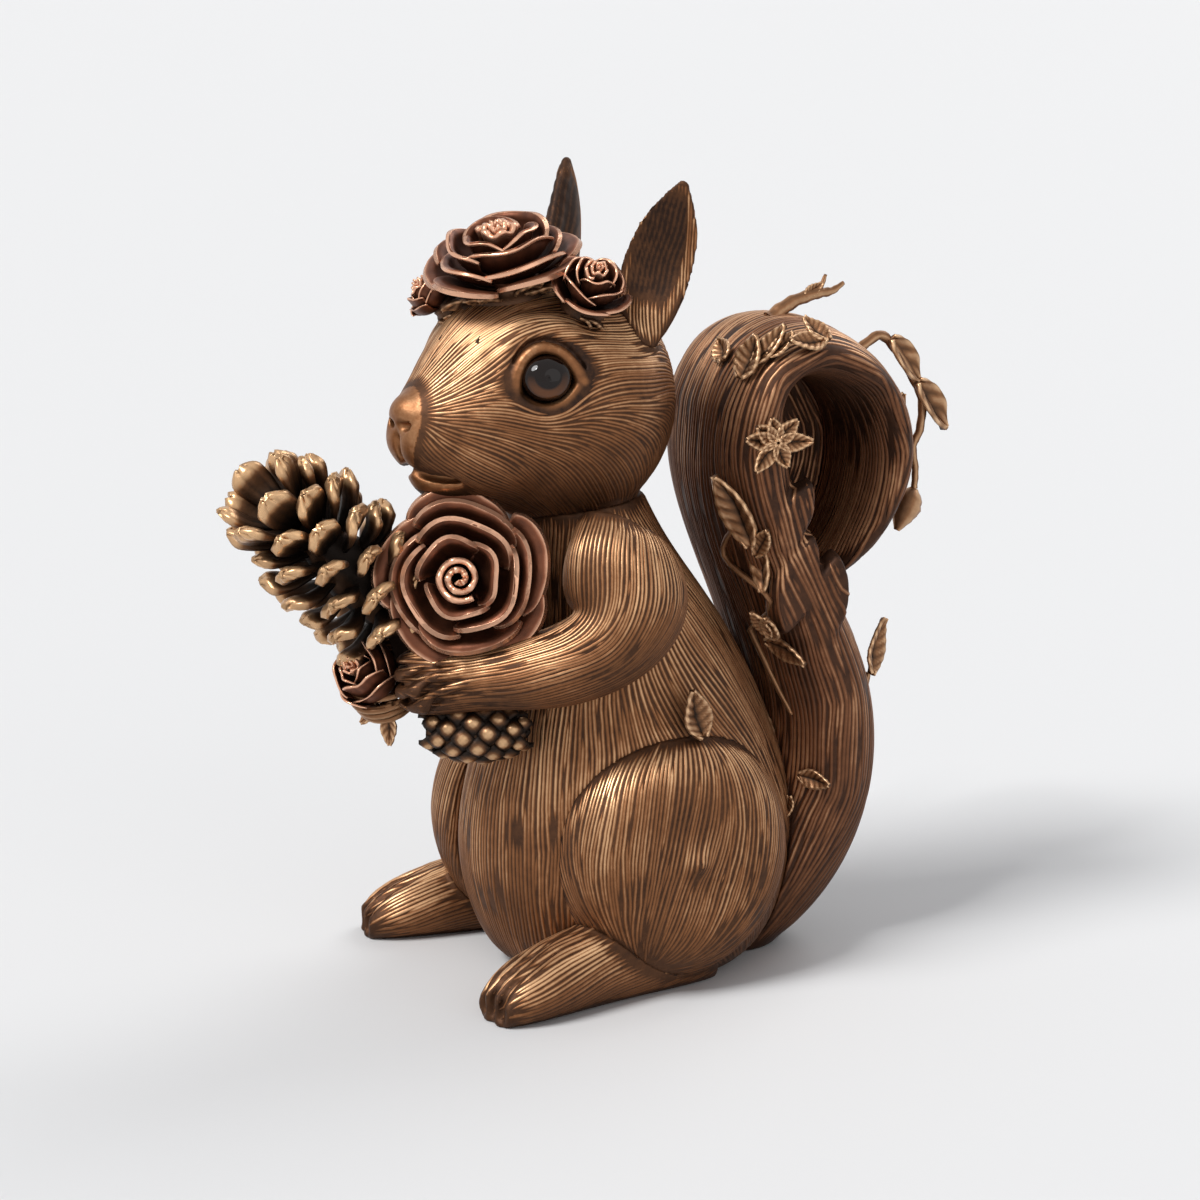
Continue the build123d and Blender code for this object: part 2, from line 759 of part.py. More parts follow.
with BuildPart() as body:
    add(torso.part)
    add(skull, mode=Mode.SUBTRACT)
    with BuildSketch(neck_socket.offset(-joint_clearance)):
        Circle(neck_spigot_radius + joint_clearance)
    extrude(amount=neck_spigot_length * 2, mode=Mode.SUBTRACT)
    with BuildSketch(tail_socket):
        Circle(tail_peg_radius + joint_clearance)
    extrude(amount=tail_peg_length + joint_clearance, mode=Mode.SUBTRACT)
save(body, "body")

with BuildPart() as tail:
    add(tail_cast.part)
    add([torso.part, haunches[1], haunches[-1]], mode=Mode.SUBTRACT)
    with BuildSketch(tail_socket):
        Circle(tail_peg_radius)
    extrude(amount=tail_peg_length)
save(tail, "tail")

for side, hand in ((1, "left"), (-1, "right")):
    with BuildPart() as eye:
        add(eye_form(side))
    save(eye, f"eye_{hand}")
    with BuildPart() as ear:
        add(ear_form(ear_plane(side)))
        add(skull, mode=Mode.SUBTRACT)
    save(ear, f"ear_{hand}")
    with BuildPart() as haunch:
        add(haunches[side])
        add(torso.part, mode=Mode.SUBTRACT)
    save(haunch, f"haunch_{hand}")
    with BuildPart() as foot:
        add(foot_form(side))
        add([torso.part, haunches[side]], mode=Mode.SUBTRACT)
    save(foot, f"foot_{hand}")
    with BuildPart() as arm:
        add(arms[side])
        add([torso.part, skull], mode=Mode.SUBTRACT)
    save(arm, f"arm_{hand}")

with BuildPart() as crown_band:
    add(crown_band_form.part)
    add(skull, mode=Mode.SUBTRACT)
save(crown_band, "crown_band")

with BuildPart() as crown_rose:
    add(crown_flower(crown_rose_place_shares, crown_rose_opens, crown_rose_radius, crown_rose_height, rose_whorl_shares))
save(crown_rose, "crown_rose")

crown_rose_room = turned_form(crown_seats[0][0], crown_rose_height, crown_rose_radius, rose_room_shares)
with BuildPart() as crown_bud_left:
    add(crown_flower(crown_bud_place_shares, crown_bud_opens, crown_bud_radius, crown_bud_height, bud_whorl_shares))
    add(crown_rose_room, mode=Mode.SUBTRACT)
save(crown_bud_left, "crown_bud_left")

with BuildPart() as crown_buds_right:
    for place_shares, opens in zip(crown_far_bud_place_shares, crown_far_bud_opens):
        add(crown_flower(place_shares, opens, crown_far_bud_radius, crown_far_bud_height, small_bud_whorl_shares))
    add(crown_rose_room, mode=Mode.SUBTRACT)
save(crown_buds_right, "crown_buds_right")

with BuildPart() as posy_hub:
    add(posy_hub_form.part)
    add([torso.part, arms[1], arms[-1]], mode=Mode.SUBTRACT)
save(posy_hub, "posy_hub")

with BuildPart() as pinecone:
    add(pinecone_form)
    add([posy_hub_form.part, rose_room], mode=Mode.SUBTRACT)
save(pinecone, "pinecone")

with BuildPart() as posy_rose:
    add(posy_rose_form)
save(posy_rose, "posy_rose")

with BuildPart() as posy_bud:
    add(posy_bud_form)
save(posy_bud, "posy_bud")

with BuildPart() as small_cone:
    add(small_cone_form)
    add(arms[1], mode=Mode.SUBTRACT)
save(small_cone, "small_cone")

# Leaves on the crown's band, each cut to lie under the flowers
crown_bud_rooms = []
for seat, flower_radius in crown_seats[1:]:
    crown_bud_rooms.append(turned_form(seat, crown_bud_height, flower_radius, rose_room_shares))
with BuildPart() as crown_leaves:
    for side_share, forward_share, heading_degrees in crown_leaf_shares:
        spot = head_point(side_share, forward_share, 1)
        heading = head_direction(cos(radians(heading_degrees)), -sin(radians(heading_degrees)), 0)
        seat = landing(crown_band_skin, spot, head_direction(0, 0, -1), heading)
        add(leaf_form(seat, crown_leaf_length, crown_leaf_width, leaf_sink))
    add([crown_band_form.part, skull, crown_rose_room] + crown_bud_rooms, mode=Mode.SUBTRACT)
    add([ear_form(ear_plane(1)), ear_form(ear_plane(-1))], mode=Mode.SUBTRACT)
save(crown_leaves, "crown_leaves")

# Nest of twigs and leaves under the posy's bud
nest_middle = posy_point(nest_place_shares)
bud_room = turned_form(bud_seat, posy_bud_height, posy_bud_radius, rose_room_shares)
with BuildPart() as twig_nest:
    for heading, length_share in nest_shares:
        step = Vector(*heading).normalized() * nest_length * length_share
        bend = Vector(0, 0, -twig_radius)
        add(stem_form([nest_middle, nest_middle + step / 2 + bend, nest_middle + step], twig_radius, twig_shares))
    for heading, length_share in nest_leaf_shares:
        step = Vector(*heading)
        facing = Vector(*posy_rose_opens)
        seat = Plane(nest_middle, x_dir=step - facing * step.dot(facing), z_dir=facing)
        add(leaf_form(seat, nest_length * length_share, crown_leaf_width, 0))
    add([posy_hub_form.part, bud_room, arms[1], arms[-1], small_cone_form], mode=Mode.SUBTRACT)
    add(posy_bud_form, mode=Mode.SUBTRACT)
save(twig_nest, "twig_nest")


tail_leaf_side_share = 0.87
# Leaves and vines of the tail. A leaf: back and up shares of the tail, heading, shares of a leaf's length and width
sight = (-0.88, 0.41, -0.22)
tail_spray_shares = {
    "tail_sprig": (
        (0.341, 0.663, 126, 1.00, 1.00),
        (0.381, 0.598, 143, 0.91, 0.75),
        (0.351, 0.647, 44, 0.55, 0.50),
    ),
    "tail_cluster": (
        (0.419, 0.521, 129, 0.45, 0.62),
        (0.432, 0.520, 57, 0.50, 0.62),
        (0.474, 0.510, 13, 0.68, 0.62),
    ),
    "tail_crest_leaves": (
        (0.262, 1.000, 17, 0.60, 0.62),
        (0.162, 0.980, 69, 0.55, 0.88),
        (0.367, 0.939, 141, 0.38, 0.62),
        (0.389, 0.978, 16, 0.41, 0.50),
        (0.581, 0.973, 180, 0.50, 0.62),
        (0.594, 0.974, 109, 0.41, 0.62),
    ),
    "tail_star": tuple(
        (0.411, 0.833, heading_degrees, length_share, 0.50)
        for heading_degrees, length_share in (
            (170, 0.46), (143, 0.38), (106, 0.36), (45, 0.38), (-1, 0.46), (-69, 0.36), (-136, 0.46)
        )
    ),
    "tail_tendrils": ((0.496, 0.297, -12, 0.46, 0.50), (0.530, 0.257, -103, 0.34, 0.40)),
}
tail_vine_shares = {
    # Points of each vine by shares of the tail's reach and height
    "tail_sprig": ((0.302, 0.714), (0.364, 0.641), (0.424, 0.583), (0.438, 0.556)),
    "tail_cluster": ((0.452, 0.518), (0.465, 0.490), (0.509, 0.436), (0.543, 0.386)),
}


def tail_spot(side_share, back_share, up_share):
    """A point beside the tail by shares of its half width, reach and height."""
    return Vector(tail_half_width * side_share, tail_reach * back_share, tail_height * up_share)


def tail_spray(name):
    """Leaves that lie on the tail, with the vine that carries them."""
    forms = []
    for back_share, up_share, heading_degrees, length_share, width_share in tail_spray_shares[name]:
        seat = landing(tail_cast.part, tail_spot(tail_leaf_side_share, back_share, up_share), sight, rise(heading_degrees))
        forms.append(leaf_form(seat, leaf_length * length_share, leaf_width * width_share, leaf_sink))
    if name in tail_vine_shares:
        points = []
        for back_share, up_share in tail_vine_shares[name]:
            points.append(landing(tail_cast.part, tail_spot(tail_leaf_side_share, back_share, up_share), sight, (0, 0, 1)).origin)
        forms.append(stem_form(points, vine_radius * 1.4, twig_shares))
    return forms


for name in tail_spray_shares:
    with BuildPart() as spray:
        add(tail_spray(name))
        add(tail_cast.part, mode=Mode.SUBTRACT)
    save(spray, name)

# Vines that stand clear of the tail, and the two leaves by the haunch. Points by shares of the reach and height
top_twig_shares = ((0.550, 1.000), (0.620, 1.022), (0.700, 1.030), (0.790, 1.041))
top_fork_shares = ((0.690, 1.028), (0.720, 1.040), (0.745, 1.054))
rear_vine_shares = (
    (0.790, 0.940),
    (0.861, 0.967),
    (0.912, 0.942),
    (0.975, 0.895),
    (1.007, 0.859),
    (0.995, 0.790),
    (0.987, 0.718),
)
rear_leaf_shares = ((0.905, 0.946, -52, 0.68, 0.90), (0.990, 0.874, -48, 0.72, 0.90))
rear_bud_heading_degrees = 245
rear_bud_shares = ((0.0, 0.30), (0.35, 1.0), (0.7, 0.85), (1.0, 0.20))
rear_bud_length_share = 0.6
rear_vine_side_share = 0.33
side_shoot_shares = ((0.700, 0.340), (0.770, 0.385), (0.796, 0.438))
side_leaf_shares = (0.796, 0.438, 62, 0.68, 0.88)
side_shoot_side_share = 0.60
haunch_leaf_place_shares = (1.13, 0.136, 0.401)
hip_leaf_place_shares = (0.87, 0.473, 0.313)


def vine_points(side_share, table):
    """Points of a vine from its table of back and up shares."""
    return [tail_spot(side_share, back_share, up_share) for back_share, up_share in table]


def free_leaf(side_share, row):
    """A leaf that hangs free on a vine, facing the squirrel's left."""
    back_share, up_share, heading_degrees, length_share, width_share = row
    root = tail_spot(side_share, back_share, up_share)
    seat = Plane(root, x_dir=rise(heading_degrees), z_dir=(1, 0, 0))
    return leaf_form(seat, leaf_length * length_share, leaf_width * width_share, 0)


with BuildPart() as tail_top_twig:
    add(stem_form(vine_points(0, top_twig_shares), vine_radius, twig_shares))
    add(stem_form(vine_points(0, top_fork_shares), vine_radius, twig_shares))
    add(tail_cast.part, mode=Mode.SUBTRACT)
save(tail_top_twig, "tail_top_twig")

bud_root = tail_spot(rear_vine_side_share, *rear_vine_shares[-1])
bud_plane = Plane(bud_root, z_dir=rise(rear_bud_heading_degrees))
with BuildPart() as tail_rear_vine:
    add(stem_form(vine_points(rear_vine_side_share, rear_vine_shares), vine_radius, vine_taper_shares))
    for row in rear_leaf_shares:
        add(free_leaf(rear_vine_side_share, row))
    add(turned_form(bud_plane, leaf_length * rear_bud_length_share, vine_bud_radius, rear_bud_shares, 6))
    add(tail_cast.part, mode=Mode.SUBTRACT)
save(tail_rear_vine, "tail_rear_vine")

with BuildPart() as tail_side_shoot:
    add(stem_form(vine_points(side_shoot_side_share, side_shoot_shares), vine_radius, twig_shares))
    add(free_leaf(side_shoot_side_share, side_leaf_shares))
    add(tail_cast.part, mode=Mode.SUBTRACT)
save(tail_side_shoot, "tail_side_shoot")

haunch_seat = landing(torso.part, tail_spot(*haunch_leaf_place_shares), sight, rise(107))
with BuildPart() as haunch_leaf:
    add(leaf_form(haunch_seat, crown_leaf_length, crown_leaf_width, leaf_sink))
    add([haunches[1], torso.part], mode=Mode.SUBTRACT)
save(haunch_leaf, "haunch_leaf")

hip_seat = landing(tail_cast.part, tail_spot(*hip_leaf_place_shares), sight, rise(112))
with BuildPart() as hip_leaf:
    add(leaf_form(hip_seat, leaf_length, leaf_width * 1.2, leaf_sink))
    add([tail_cast.part, haunches[1], torso.part], mode=Mode.SUBTRACT)
save(hip_leaf, "hip_leaf")
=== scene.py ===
from functools import partial
from math import cos, pi, radians, sin, sqrt

import bpy
import numpy as np
import openvdb
from mathutils import Matrix, Vector, noise
from mathutils.bvhtree import BVHTree


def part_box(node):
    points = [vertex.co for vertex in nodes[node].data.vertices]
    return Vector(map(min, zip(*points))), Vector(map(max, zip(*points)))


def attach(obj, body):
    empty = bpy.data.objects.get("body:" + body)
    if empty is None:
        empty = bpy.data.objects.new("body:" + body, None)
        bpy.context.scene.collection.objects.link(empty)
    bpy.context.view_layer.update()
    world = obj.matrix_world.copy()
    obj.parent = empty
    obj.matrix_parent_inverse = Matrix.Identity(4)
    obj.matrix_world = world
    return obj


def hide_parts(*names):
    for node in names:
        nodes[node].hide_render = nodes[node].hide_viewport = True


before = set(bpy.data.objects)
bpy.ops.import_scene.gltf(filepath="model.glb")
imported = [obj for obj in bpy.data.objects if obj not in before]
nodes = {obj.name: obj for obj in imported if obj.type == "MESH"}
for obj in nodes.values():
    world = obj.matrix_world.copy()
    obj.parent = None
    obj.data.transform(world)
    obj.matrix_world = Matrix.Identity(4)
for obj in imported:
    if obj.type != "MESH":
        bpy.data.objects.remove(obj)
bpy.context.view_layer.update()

# Everything is worked out in millimetres, in the frame's own axes, and becomes metres when a mesh is made
MM = 0.001
UP = np.array((0.0, 0.0, 1.0))
HANDS = {1: "_left", -1: "_right"}

# Camera, at the photograph's angle. The photograph is 1200 pixels square
PHOTO_SIDE = 1200
AZIMUTH = 65.0
ELEVATION = 13.0
DISTANCE = 1000.0
PIXELS_PER_MM = 3.38
ORIGIN_PIXEL = (598, 955)
SENSOR = 36.0

camera_back = Vector((
    sin(radians(AZIMUTH)) * cos(radians(ELEVATION)),
    -cos(radians(AZIMUTH)) * cos(radians(ELEVATION)),
    sin(radians(ELEVATION)),
))
camera_right = Vector((cos(radians(AZIMUTH)), sin(radians(AZIMUTH)), 0))
camera_up = camera_back.cross(camera_right)
camera_target = (
    camera_right * (PHOTO_SIDE / 2 - ORIGIN_PIXEL[0]) - camera_up * (PHOTO_SIDE / 2 - ORIGIN_PIXEL[1])
) / PIXELS_PER_MM
camera_place = camera_target + camera_back * DISTANCE

# The surround as a light and as what is seen, the floor's reach in metres, and the lamps: name, where from,
# width in degrees, strength
SURROUND_LIGHT = (0.27, 0.275, 0.29, 1)
BACKDROP = (0.855, 0.855, 0.855, 1)
FLOOR_COLOUR = (0.81, 0.81, 0.81, 1)
FLOOR_ROUGHNESS = 0.7
FLOOR_REACH = 30.0
LAMPS = (
    ("key", (0.12, -0.66, 0.78), 24.0, 2.15),
    ("glint", (0.35, -0.70, 0.85), 5.0, 0.28),
    ("fill", (0.95, 0.10, 0.35), 50.0, 0.30),
    ("rim", (-0.30, 0.70, 0.70), 34.0, 0.75),
)


def sight(px, py):
    """The direction from the camera through a pixel of the photograph."""
    reach = DISTANCE * PIXELS_PER_MM
    across = camera_right * (px - PHOTO_SIDE / 2) / reach
    return (across + camera_up * (PHOTO_SIDE / 2 - py) / reach - camera_back).normalized()


def show(name, data):
    """An object in the scene that holds a mesh, a lamp or a camera."""
    made = bpy.data.objects.new(name, data)
    bpy.context.scene.collection.objects.link(made)
    return made


def make_camera():
    """The camera, level across and aimed so that the origin falls on its pixel."""
    camera = bpy.data.cameras.new("camera")
    camera.sensor_width = SENSOR
    camera.lens = SENSOR * DISTANCE * PIXELS_PER_MM / PHOTO_SIDE
    holder = show("camera", camera)
    axes = Matrix((camera_right, camera_up, camera_back)).transposed()
    holder.matrix_world = Matrix.Translation(camera_place * MM) @ axes.to_4x4()
    bpy.context.scene.camera = holder


def make_node(tree, kind, **values):
    """A shader node, with its sockets and settings given by name."""
    made = tree.nodes.new("ShaderNode" + kind)
    for key, value in values.items():
        if key in made.inputs:
            made.inputs[key].default_value = value
        else:
            setattr(made, key, value)
    return made


def maths(tree, operation, *values, **settings):
    """The result of a Math node on numbers and sockets."""
    made = make_node(tree, "Math", operation=operation, **settings)
    for socket, value in zip(made.inputs, values):
        if isinstance(value, float):
            socket.default_value = value
        else:
            tree.links.new(value, socket)
    return made.outputs[0]


def new_material(name):
    """A material, its node tree and its shader."""
    material = bpy.data.materials.new(name)
    material.use_nodes = True
    return material, material.node_tree, material.node_tree.nodes["Principled BSDF"]


def make_light():
    """A surround that is a dim lamp and a pale backdrop, and soft suns."""
    bpy.context.scene.view_settings.view_transform = "Standard"
    world = bpy.data.worlds.new("surround")
    bpy.context.scene.world = world
    world.use_nodes = True
    tree = world.node_tree
    back = tree.nodes["Background"]
    back.inputs["Strength"].default_value = 1.0
    path = make_node(tree, "LightPath").outputs
    seen = maths(tree, "MAXIMUM", path["Is Camera Ray"], path["Is Transmission Ray"])
    seen = maths(tree, "MAXIMUM", seen, path["Is Glossy Ray"])
    pick = make_node(tree, "Mix", data_type="RGBA", A=SURROUND_LIGHT, B=BACKDROP)
    tree.links.new(seen, pick.inputs["Factor"])
    tree.links.new(pick.outputs["Result"], back.inputs["Color"])
    for name, place, wide, strength in LAMPS:
        lamp = bpy.data.lights.new(name, "SUN")
        lamp.angle = radians(wide)
        lamp.energy = strength
        show(name, lamp).rotation_euler = Vector(place).to_track_quat("Z", "Y").to_euler()


def make_floor():
    """A pale floor that fades into the surround and keeps the shadow."""
    material, _, shader = new_material("floor")
    shader.inputs["Base Color"].default_value = FLOOR_COLOUR
    shader.inputs["Roughness"].default_value = FLOOR_ROUGHNESS
    mesh = bpy.data.meshes.new("floor")
    corners = [(x * FLOOR_REACH, y * FLOOR_REACH, 0) for x, y in ((-1, -1), (1, -1), (1, 1), (-1, 1))]
    mesh.from_pydata(corners, [], [(0, 1, 2, 3)])
    mesh.materials.append(material)
    show("floor", mesh)


# Clay: the castings' skins are made as distance fields on grids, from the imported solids
GRID = 0.6
BAND = 12
MARGIN = 4.0
OVERLAP = 0.12
TINY = 1e-6


def arrays(name):
    """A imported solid's points in millimetres and its triangles."""
    mesh = nodes[name].data
    mesh.calc_loop_triangles()
    points = np.empty(len(mesh.vertices) * 3, np.float32)
    mesh.vertices.foreach_get("co", points)
    corners = np.empty(len(mesh.loop_triangles) * 3, np.int32)
    mesh.loop_triangles.foreach_get("vertices", corners)
    return points.reshape(-1, 3) / MM, corners.reshape(-1, 3)


def skin_tree(points, faces):
    """A mesh to cast rays at."""
    return BVHTree.FromPolygons(points.tolist(), faces.tolist())


def strike(tree, start, way):
    """Where a ray meets a mesh and the way that it faces there, or None twice."""
    hit, normal, _, _ = tree.ray_cast(Vector(start), Vector(way))
    return (None, None) if hit is None else (np.array(hit), np.array(normal))


def soft_min(a, b, blend):
    """The nearer of two fields, rounded where they meet."""
    mix = np.maximum(blend - np.abs(a - b), 0) / blend
    return np.minimum(a, b) - mix * mix * blend / 4


def soft_max(a, b, blend):
    """The further of two fields, rounded where they meet."""
    return -soft_min(-a, -b, blend)


class Clay:
    """A block of space around one casting."""

    def __init__(self, name, grid):
        self.grid = grid
        low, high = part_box(name)
        self.low = np.floor((np.array(low) / MM - MARGIN) / grid).astype(int)
        high = np.ceil((np.array(high) / MM + MARGIN) / grid).astype(int)
        self.shape = tuple(high - self.low)
        axes = [(self.low[i] + np.arange(self.shape[i])) * grid for i in range(3)]
        self.x, self.y, self.z = np.meshgrid(*axes, indexing="ij", sparse=True)
        self.space = openvdb.createLinearTransform(voxelSize=grid)

    def field(self, name):
        """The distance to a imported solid, negative inside."""
        points, corners = arrays(name)
        level = openvdb.FloatGrid.createLevelSetFromPolygons(
            points, triangles=corners, transform=self.space, halfWidth=BAND
        )
        out = np.full(self.shape, BAND * self.grid, np.float32)
        level.copyToArray(out, ijk=tuple(int(v) for v in self.low))
        return out

    def ball(self, middle, radii, axes):
        """The distance to an ellipsoid, near enough close to its skin."""
        parts = [self.x - middle[0], self.y - middle[1], self.z - middle[2]]
        parts = [sum(parts[i] * axis[i] for i in range(3)) for axis in axes]
        total = sum((part / radius) ** 2 for part, radius in zip(parts, radii))
        return (np.sqrt(total + TINY) - 1) * min(radii)

    def rope(self, field, points, radii, blend, cut=False):
        """Adds a tapered rope through points to a field, or presses it in."""
        points = [np.array(p, float) for p in points]
        reach = max(radii) + blend + 2 * self.grid
        for start, end, r0, r1 in zip(points, points[1:], radii, radii[1:]):
            low = np.floor((np.minimum(start, end) - reach) / self.grid).astype(int) - self.low
            high = np.ceil((np.maximum(start, end) + reach) / self.grid).astype(int) - self.low
            low = np.maximum(low, 0)
            high = np.minimum(high, self.shape)
            if (high <= low).any():
                continue
            part = tuple(slice(a, b) for a, b in zip(low, high))
            offs = self.x[part[0]], self.y[:, part[1]], self.z[:, :, part[2]]
            offs = [off - middle for off, middle in zip(offs, start)]
            run = end - start
            along = np.clip(sum(off * r for off, r in zip(offs, run)) / max(run @ run, 1e-9), 0, 1)
            far = np.sqrt(sum((off - along * r) ** 2 for off, r in zip(offs, run)))
            rope = far - (r0 + (r1 - r0) * along)
            field[part] = soft_max(field[part], -rope, blend) if cut else soft_min(field[part], rope, blend)

    def mesh(self, field):
        """The field's skin, smoothed once, as points in millimetres and quads."""
        for axis in range(3):
            field = (np.roll(field, 1, axis) + 2 * field + np.roll(field, -1, axis)) / 4
        edge = 3 * self.grid
        level = openvdb.FloatGrid(edge)
        level.transform = self.space
        clipped = np.clip(field, -edge, edge).astype(np.float32)
        level.copyFromArray(clipped, ijk=tuple(int(v) for v in self.low))
        level.gridClass = openvdb.GridClass.LEVEL_SET
        points, quads = level.convertToQuads(isovalue=0.0)
        return np.array(points, np.float64), np.array(quads, np.int64)


# How softly each casting runs together with its neighbours
JOINS = {
    "head": (("body", 4.0), ("ear_left", 3.0), ("ear_right", 3.0)),
    "body": (("head", 4.0), ("haunch_left", 2.5), ("haunch_right", 2.5),
             ("arm_left", 3.0), ("arm_right", 3.0)),
    "tail": (("body", 1.0),),
}
for hand in HANDS.values():
    JOINS["ear" + hand] = (("head", 3.0),)
    JOINS["arm" + hand] = (("body", 3.0),)
    JOINS["haunch" + hand] = (("body", 2.5), ("foot" + hand, 2.0))
    JOINS["foot" + hand] = (("haunch" + hand, 2.0), ("body", 1.0))


def cast(name, grid, work):
    """A casting's skin: its solid run together with its neighbours, cut where theirs are nearer."""
    clay = Clay(name, grid)
    own = clay.field(name)
    whole = own.copy()
    rest = np.full(clay.shape, BAND * grid, np.float32)
    for other, blend in JOINS[name]:
        near = clay.field(other)
        whole = soft_min(whole, near, blend)
        rest = np.minimum(rest, near)
    if work:
        whole = work(clay, whole)
    whole = np.maximum(whole, (own - rest) / 2 - OVERLAP)
    whole = np.maximum(whole, -clay.z)
    return clay.mesh(whole)


def ease(x, low, high):
    """Rises smoothly from 0 to 1."""
    t = np.clip((x - low) / (high - low), 0, 1)
    return t * t * (3 - 2 * t)


def unit(v):
    """A vector, or rows of them, at unit length."""
    v = np.asarray(v, float)
    return v / np.maximum(np.linalg.norm(v, axis=-1, keepdims=True), 1e-9)


# Head, its own axes as in the solid
HEAD_CENTRE = np.array((0.0, -10.0, 167.0))
HEAD_TURN = radians(8)
HEAD_SIDE = np.array((cos(HEAD_TURN), sin(HEAD_TURN), 0.0))
HEAD_FORWARD = np.array((sin(HEAD_TURN), -cos(HEAD_TURN), 0.0))
HEAD_AXES = (HEAD_SIDE, HEAD_FORWARD, UP)
EYE_PLACE = (25.33, 22.26, 11.56)
EYE_GAZE = (0.90, 0.40, 0.20)
EYE_DEPTH = 14
EYE_REACH = 24
LID_BEND = 62
NOSE_TOP = (0.0, 50.0, -1.0)

# Lids and brow in the eye's plane: towards the nose, and up
UPPER_LID = ((9.2, -4.2), (8.0, 1.6), (5.0, 6.4), (0.3, 8.4), (-4.6, 6.6), (-7.8, 2.6), (-10.0, -2.2))
LOWER_LID = ((8.4, -4.9), (5.6, -7.2), (1.2, -8.4), (-3.5, -7.3), (-7.0, -4.8), (-10.0, -2.2))
CREASE = [(a * 1.24, b * 1.24) for a, b in UPPER_LID]
BROW = ((13, 2), (9.5, 9.0), (3, 13), (-5, 12.5), (-11, 8))
UPPER_LIFT = 1.1
LOWER_LIFT = 0.7

# The rest of the face in the head's axes. Lumps have a place, radii and a blend
CHEEKS = (((4.6, 45.5, -7.5), (6.5, 8.5, 6.2)), ((13.0, 29.0, -10.5), (10.5, 13.0, 10.0)))
SNOUT = (((0, 51.5, 1.2), (4.6, 4.4, 4.4), 3.0), ((0, 38.5, -19.0), (8.0, 9.5, 5.0), 4.0))
LIP_SPLIT = ((0, 57, -1.5), (0, 55.0, -6), (0, 51.5, -13.5))
NOSTRIL = ((1.6, 56.5, -1.6), (3.8, 54.0, -2.0), (6.4, 50.0, -0.2))
MOUTH = ((0, 52, -14.0), (5, 48.5, -15.6), (10.5, 42.5, -16.4), (15.0, 35.5, -14.8))


def in_head(side, forward, rise):
    """A point given in the head's own axes."""
    return HEAD_CENTRE + HEAD_SIDE * side + HEAD_FORWARD * forward + UP * rise


def head_way(side, forward, rise):
    """A direction given in the head's own axes."""
    return unit(HEAD_SIDE * side + HEAD_FORWARD * forward + UP * rise)


def from_head(places):
    """Places as amounts along the head's own axes."""
    near = places - HEAD_CENTRE
    return near @ HEAD_SIDE, near @ HEAD_FORWARD, near[:, 2]


def eye_axes(side):
    """The eye's middle and its axes: towards the nose, up, and out."""
    out, forward, rise = EYE_GAZE
    gaze = head_way(side * out, forward, rise)
    along = unit(HEAD_FORWARD - gaze * (HEAD_FORWARD @ gaze))
    up = unit(UP - gaze * (UP @ gaze) - along * (UP @ along))
    across, forward, rise = EYE_PLACE
    return in_head(side * across, forward, rise), along, up, gaze


def by_eye(side, places, wide, high):
    """Which places are in an ellipse about an eye."""
    middle, along, up, gaze = eye_axes(side)
    off = places - middle
    a, b = off @ along, off @ up
    return (((a + 0.6) / wide) ** 2 + ((b - 0.2) / high) ** 2 <= 1) & (off @ gaze >= -EYE_DEPTH)


def smooth_line(points, count):
    """A Catmull-Rom curve through points, as rows."""
    points = [np.array(p, float) for p in points]
    points = [2 * points[0] - points[1]] + points + [2 * points[-1] - points[-2]]
    rows = []
    spans = len(points) - 3
    for step in range(count):
        t = step / (count - 1) * spans
        i = min(int(t), spans - 1)
        t -= i
        a, b, c, d = points[i:i + 4]
        rows.append(0.5 * (2 * b + (c - a) * t + (2 * a - 5 * b + 4 * c - d) * t * t
                           + (3 * b - a - 3 * c + d) * t**3))
    return np.array(rows)


def lid_line(side, outline, lift, count):
    """An outline in the eye's plane as a curve in space, bent round the head."""
    middle, along, up, gaze = eye_axes(side)
    points = []
    for a, b in outline:
        bend = -(a * a + b * b) / LID_BEND
        points.append(middle + along * a + up * b + gaze * (lift + bend))
    return smooth_line(points, count)


def work_head(clay, field):
    """Models the face on the head: lids and brow, nose, lips and chin."""
    for side in (1, -1):
        middle, along, up, gaze = eye_axes(side)
        clay.rope(field, lid_line(side, BROW, -2.2, 12), [2.2] * 6 + [1.8] * 6, 5.0)
        for (s, f, u), radii in CHEEKS:
            field = soft_min(field, clay.ball(in_head(side * s, f, u), radii, HEAD_AXES), 4.0)
        field = soft_max(field, -clay.ball(middle + gaze * 1.4, (8.6, 7.6, 5.0), (along, up, gaze)), 1.2)
        clay.rope(field, lid_line(side, CREASE, 0.9, 16), [0.7] * 16, 1.0, cut=True)
        clay.rope(field, lid_line(side, UPPER_LID, UPPER_LIFT, 16), [0.9] + [1.5] * 14 + [0.8], 0.8)
        clay.rope(field, lid_line(side, LOWER_LID, LOWER_LIFT, 14), [0.8] + [1.25] * 12 + [0.7], 0.8)
    for place, radii, blend in SNOUT:
        field = soft_min(field, clay.ball(in_head(*place), radii, HEAD_AXES), blend)
    clay.rope(field, [in_head(*place) for place in LIP_SPLIT], [0.9, 0.9, 1.2], 1.2, cut=True)
    for side in (1, -1):
        nostril, mouth = ([in_head(side * s, f, u) for s, f, u in row] for row in (NOSTRIL, MOUTH))
        clay.rope(field, smooth_line(nostril, 8), [0.8] * 4 + [1.15] * 3 + [0.7], 1.0, cut=True)
        clay.rope(field, smooth_line(mouth, 10), [1.2] * 6 + [1.0, 0.9, 0.8, 0.5], 1.4, cut=True)
    return field


# Fur: evenly spaced ribs traced over the skins. These are in gaps between two lines
APART = 0.6
START_APART = 0.82
STRIDE = 1.35
RIB_HEIGHT = 0.30

# These are in millimetres
LONGEST = 90.0
WAVE_LENGTH = 14.0

# How far a line waves to the side, and the least cosine between one step's way and the next
WAVE = 0.05
SHARPEST_TURN = 0.2

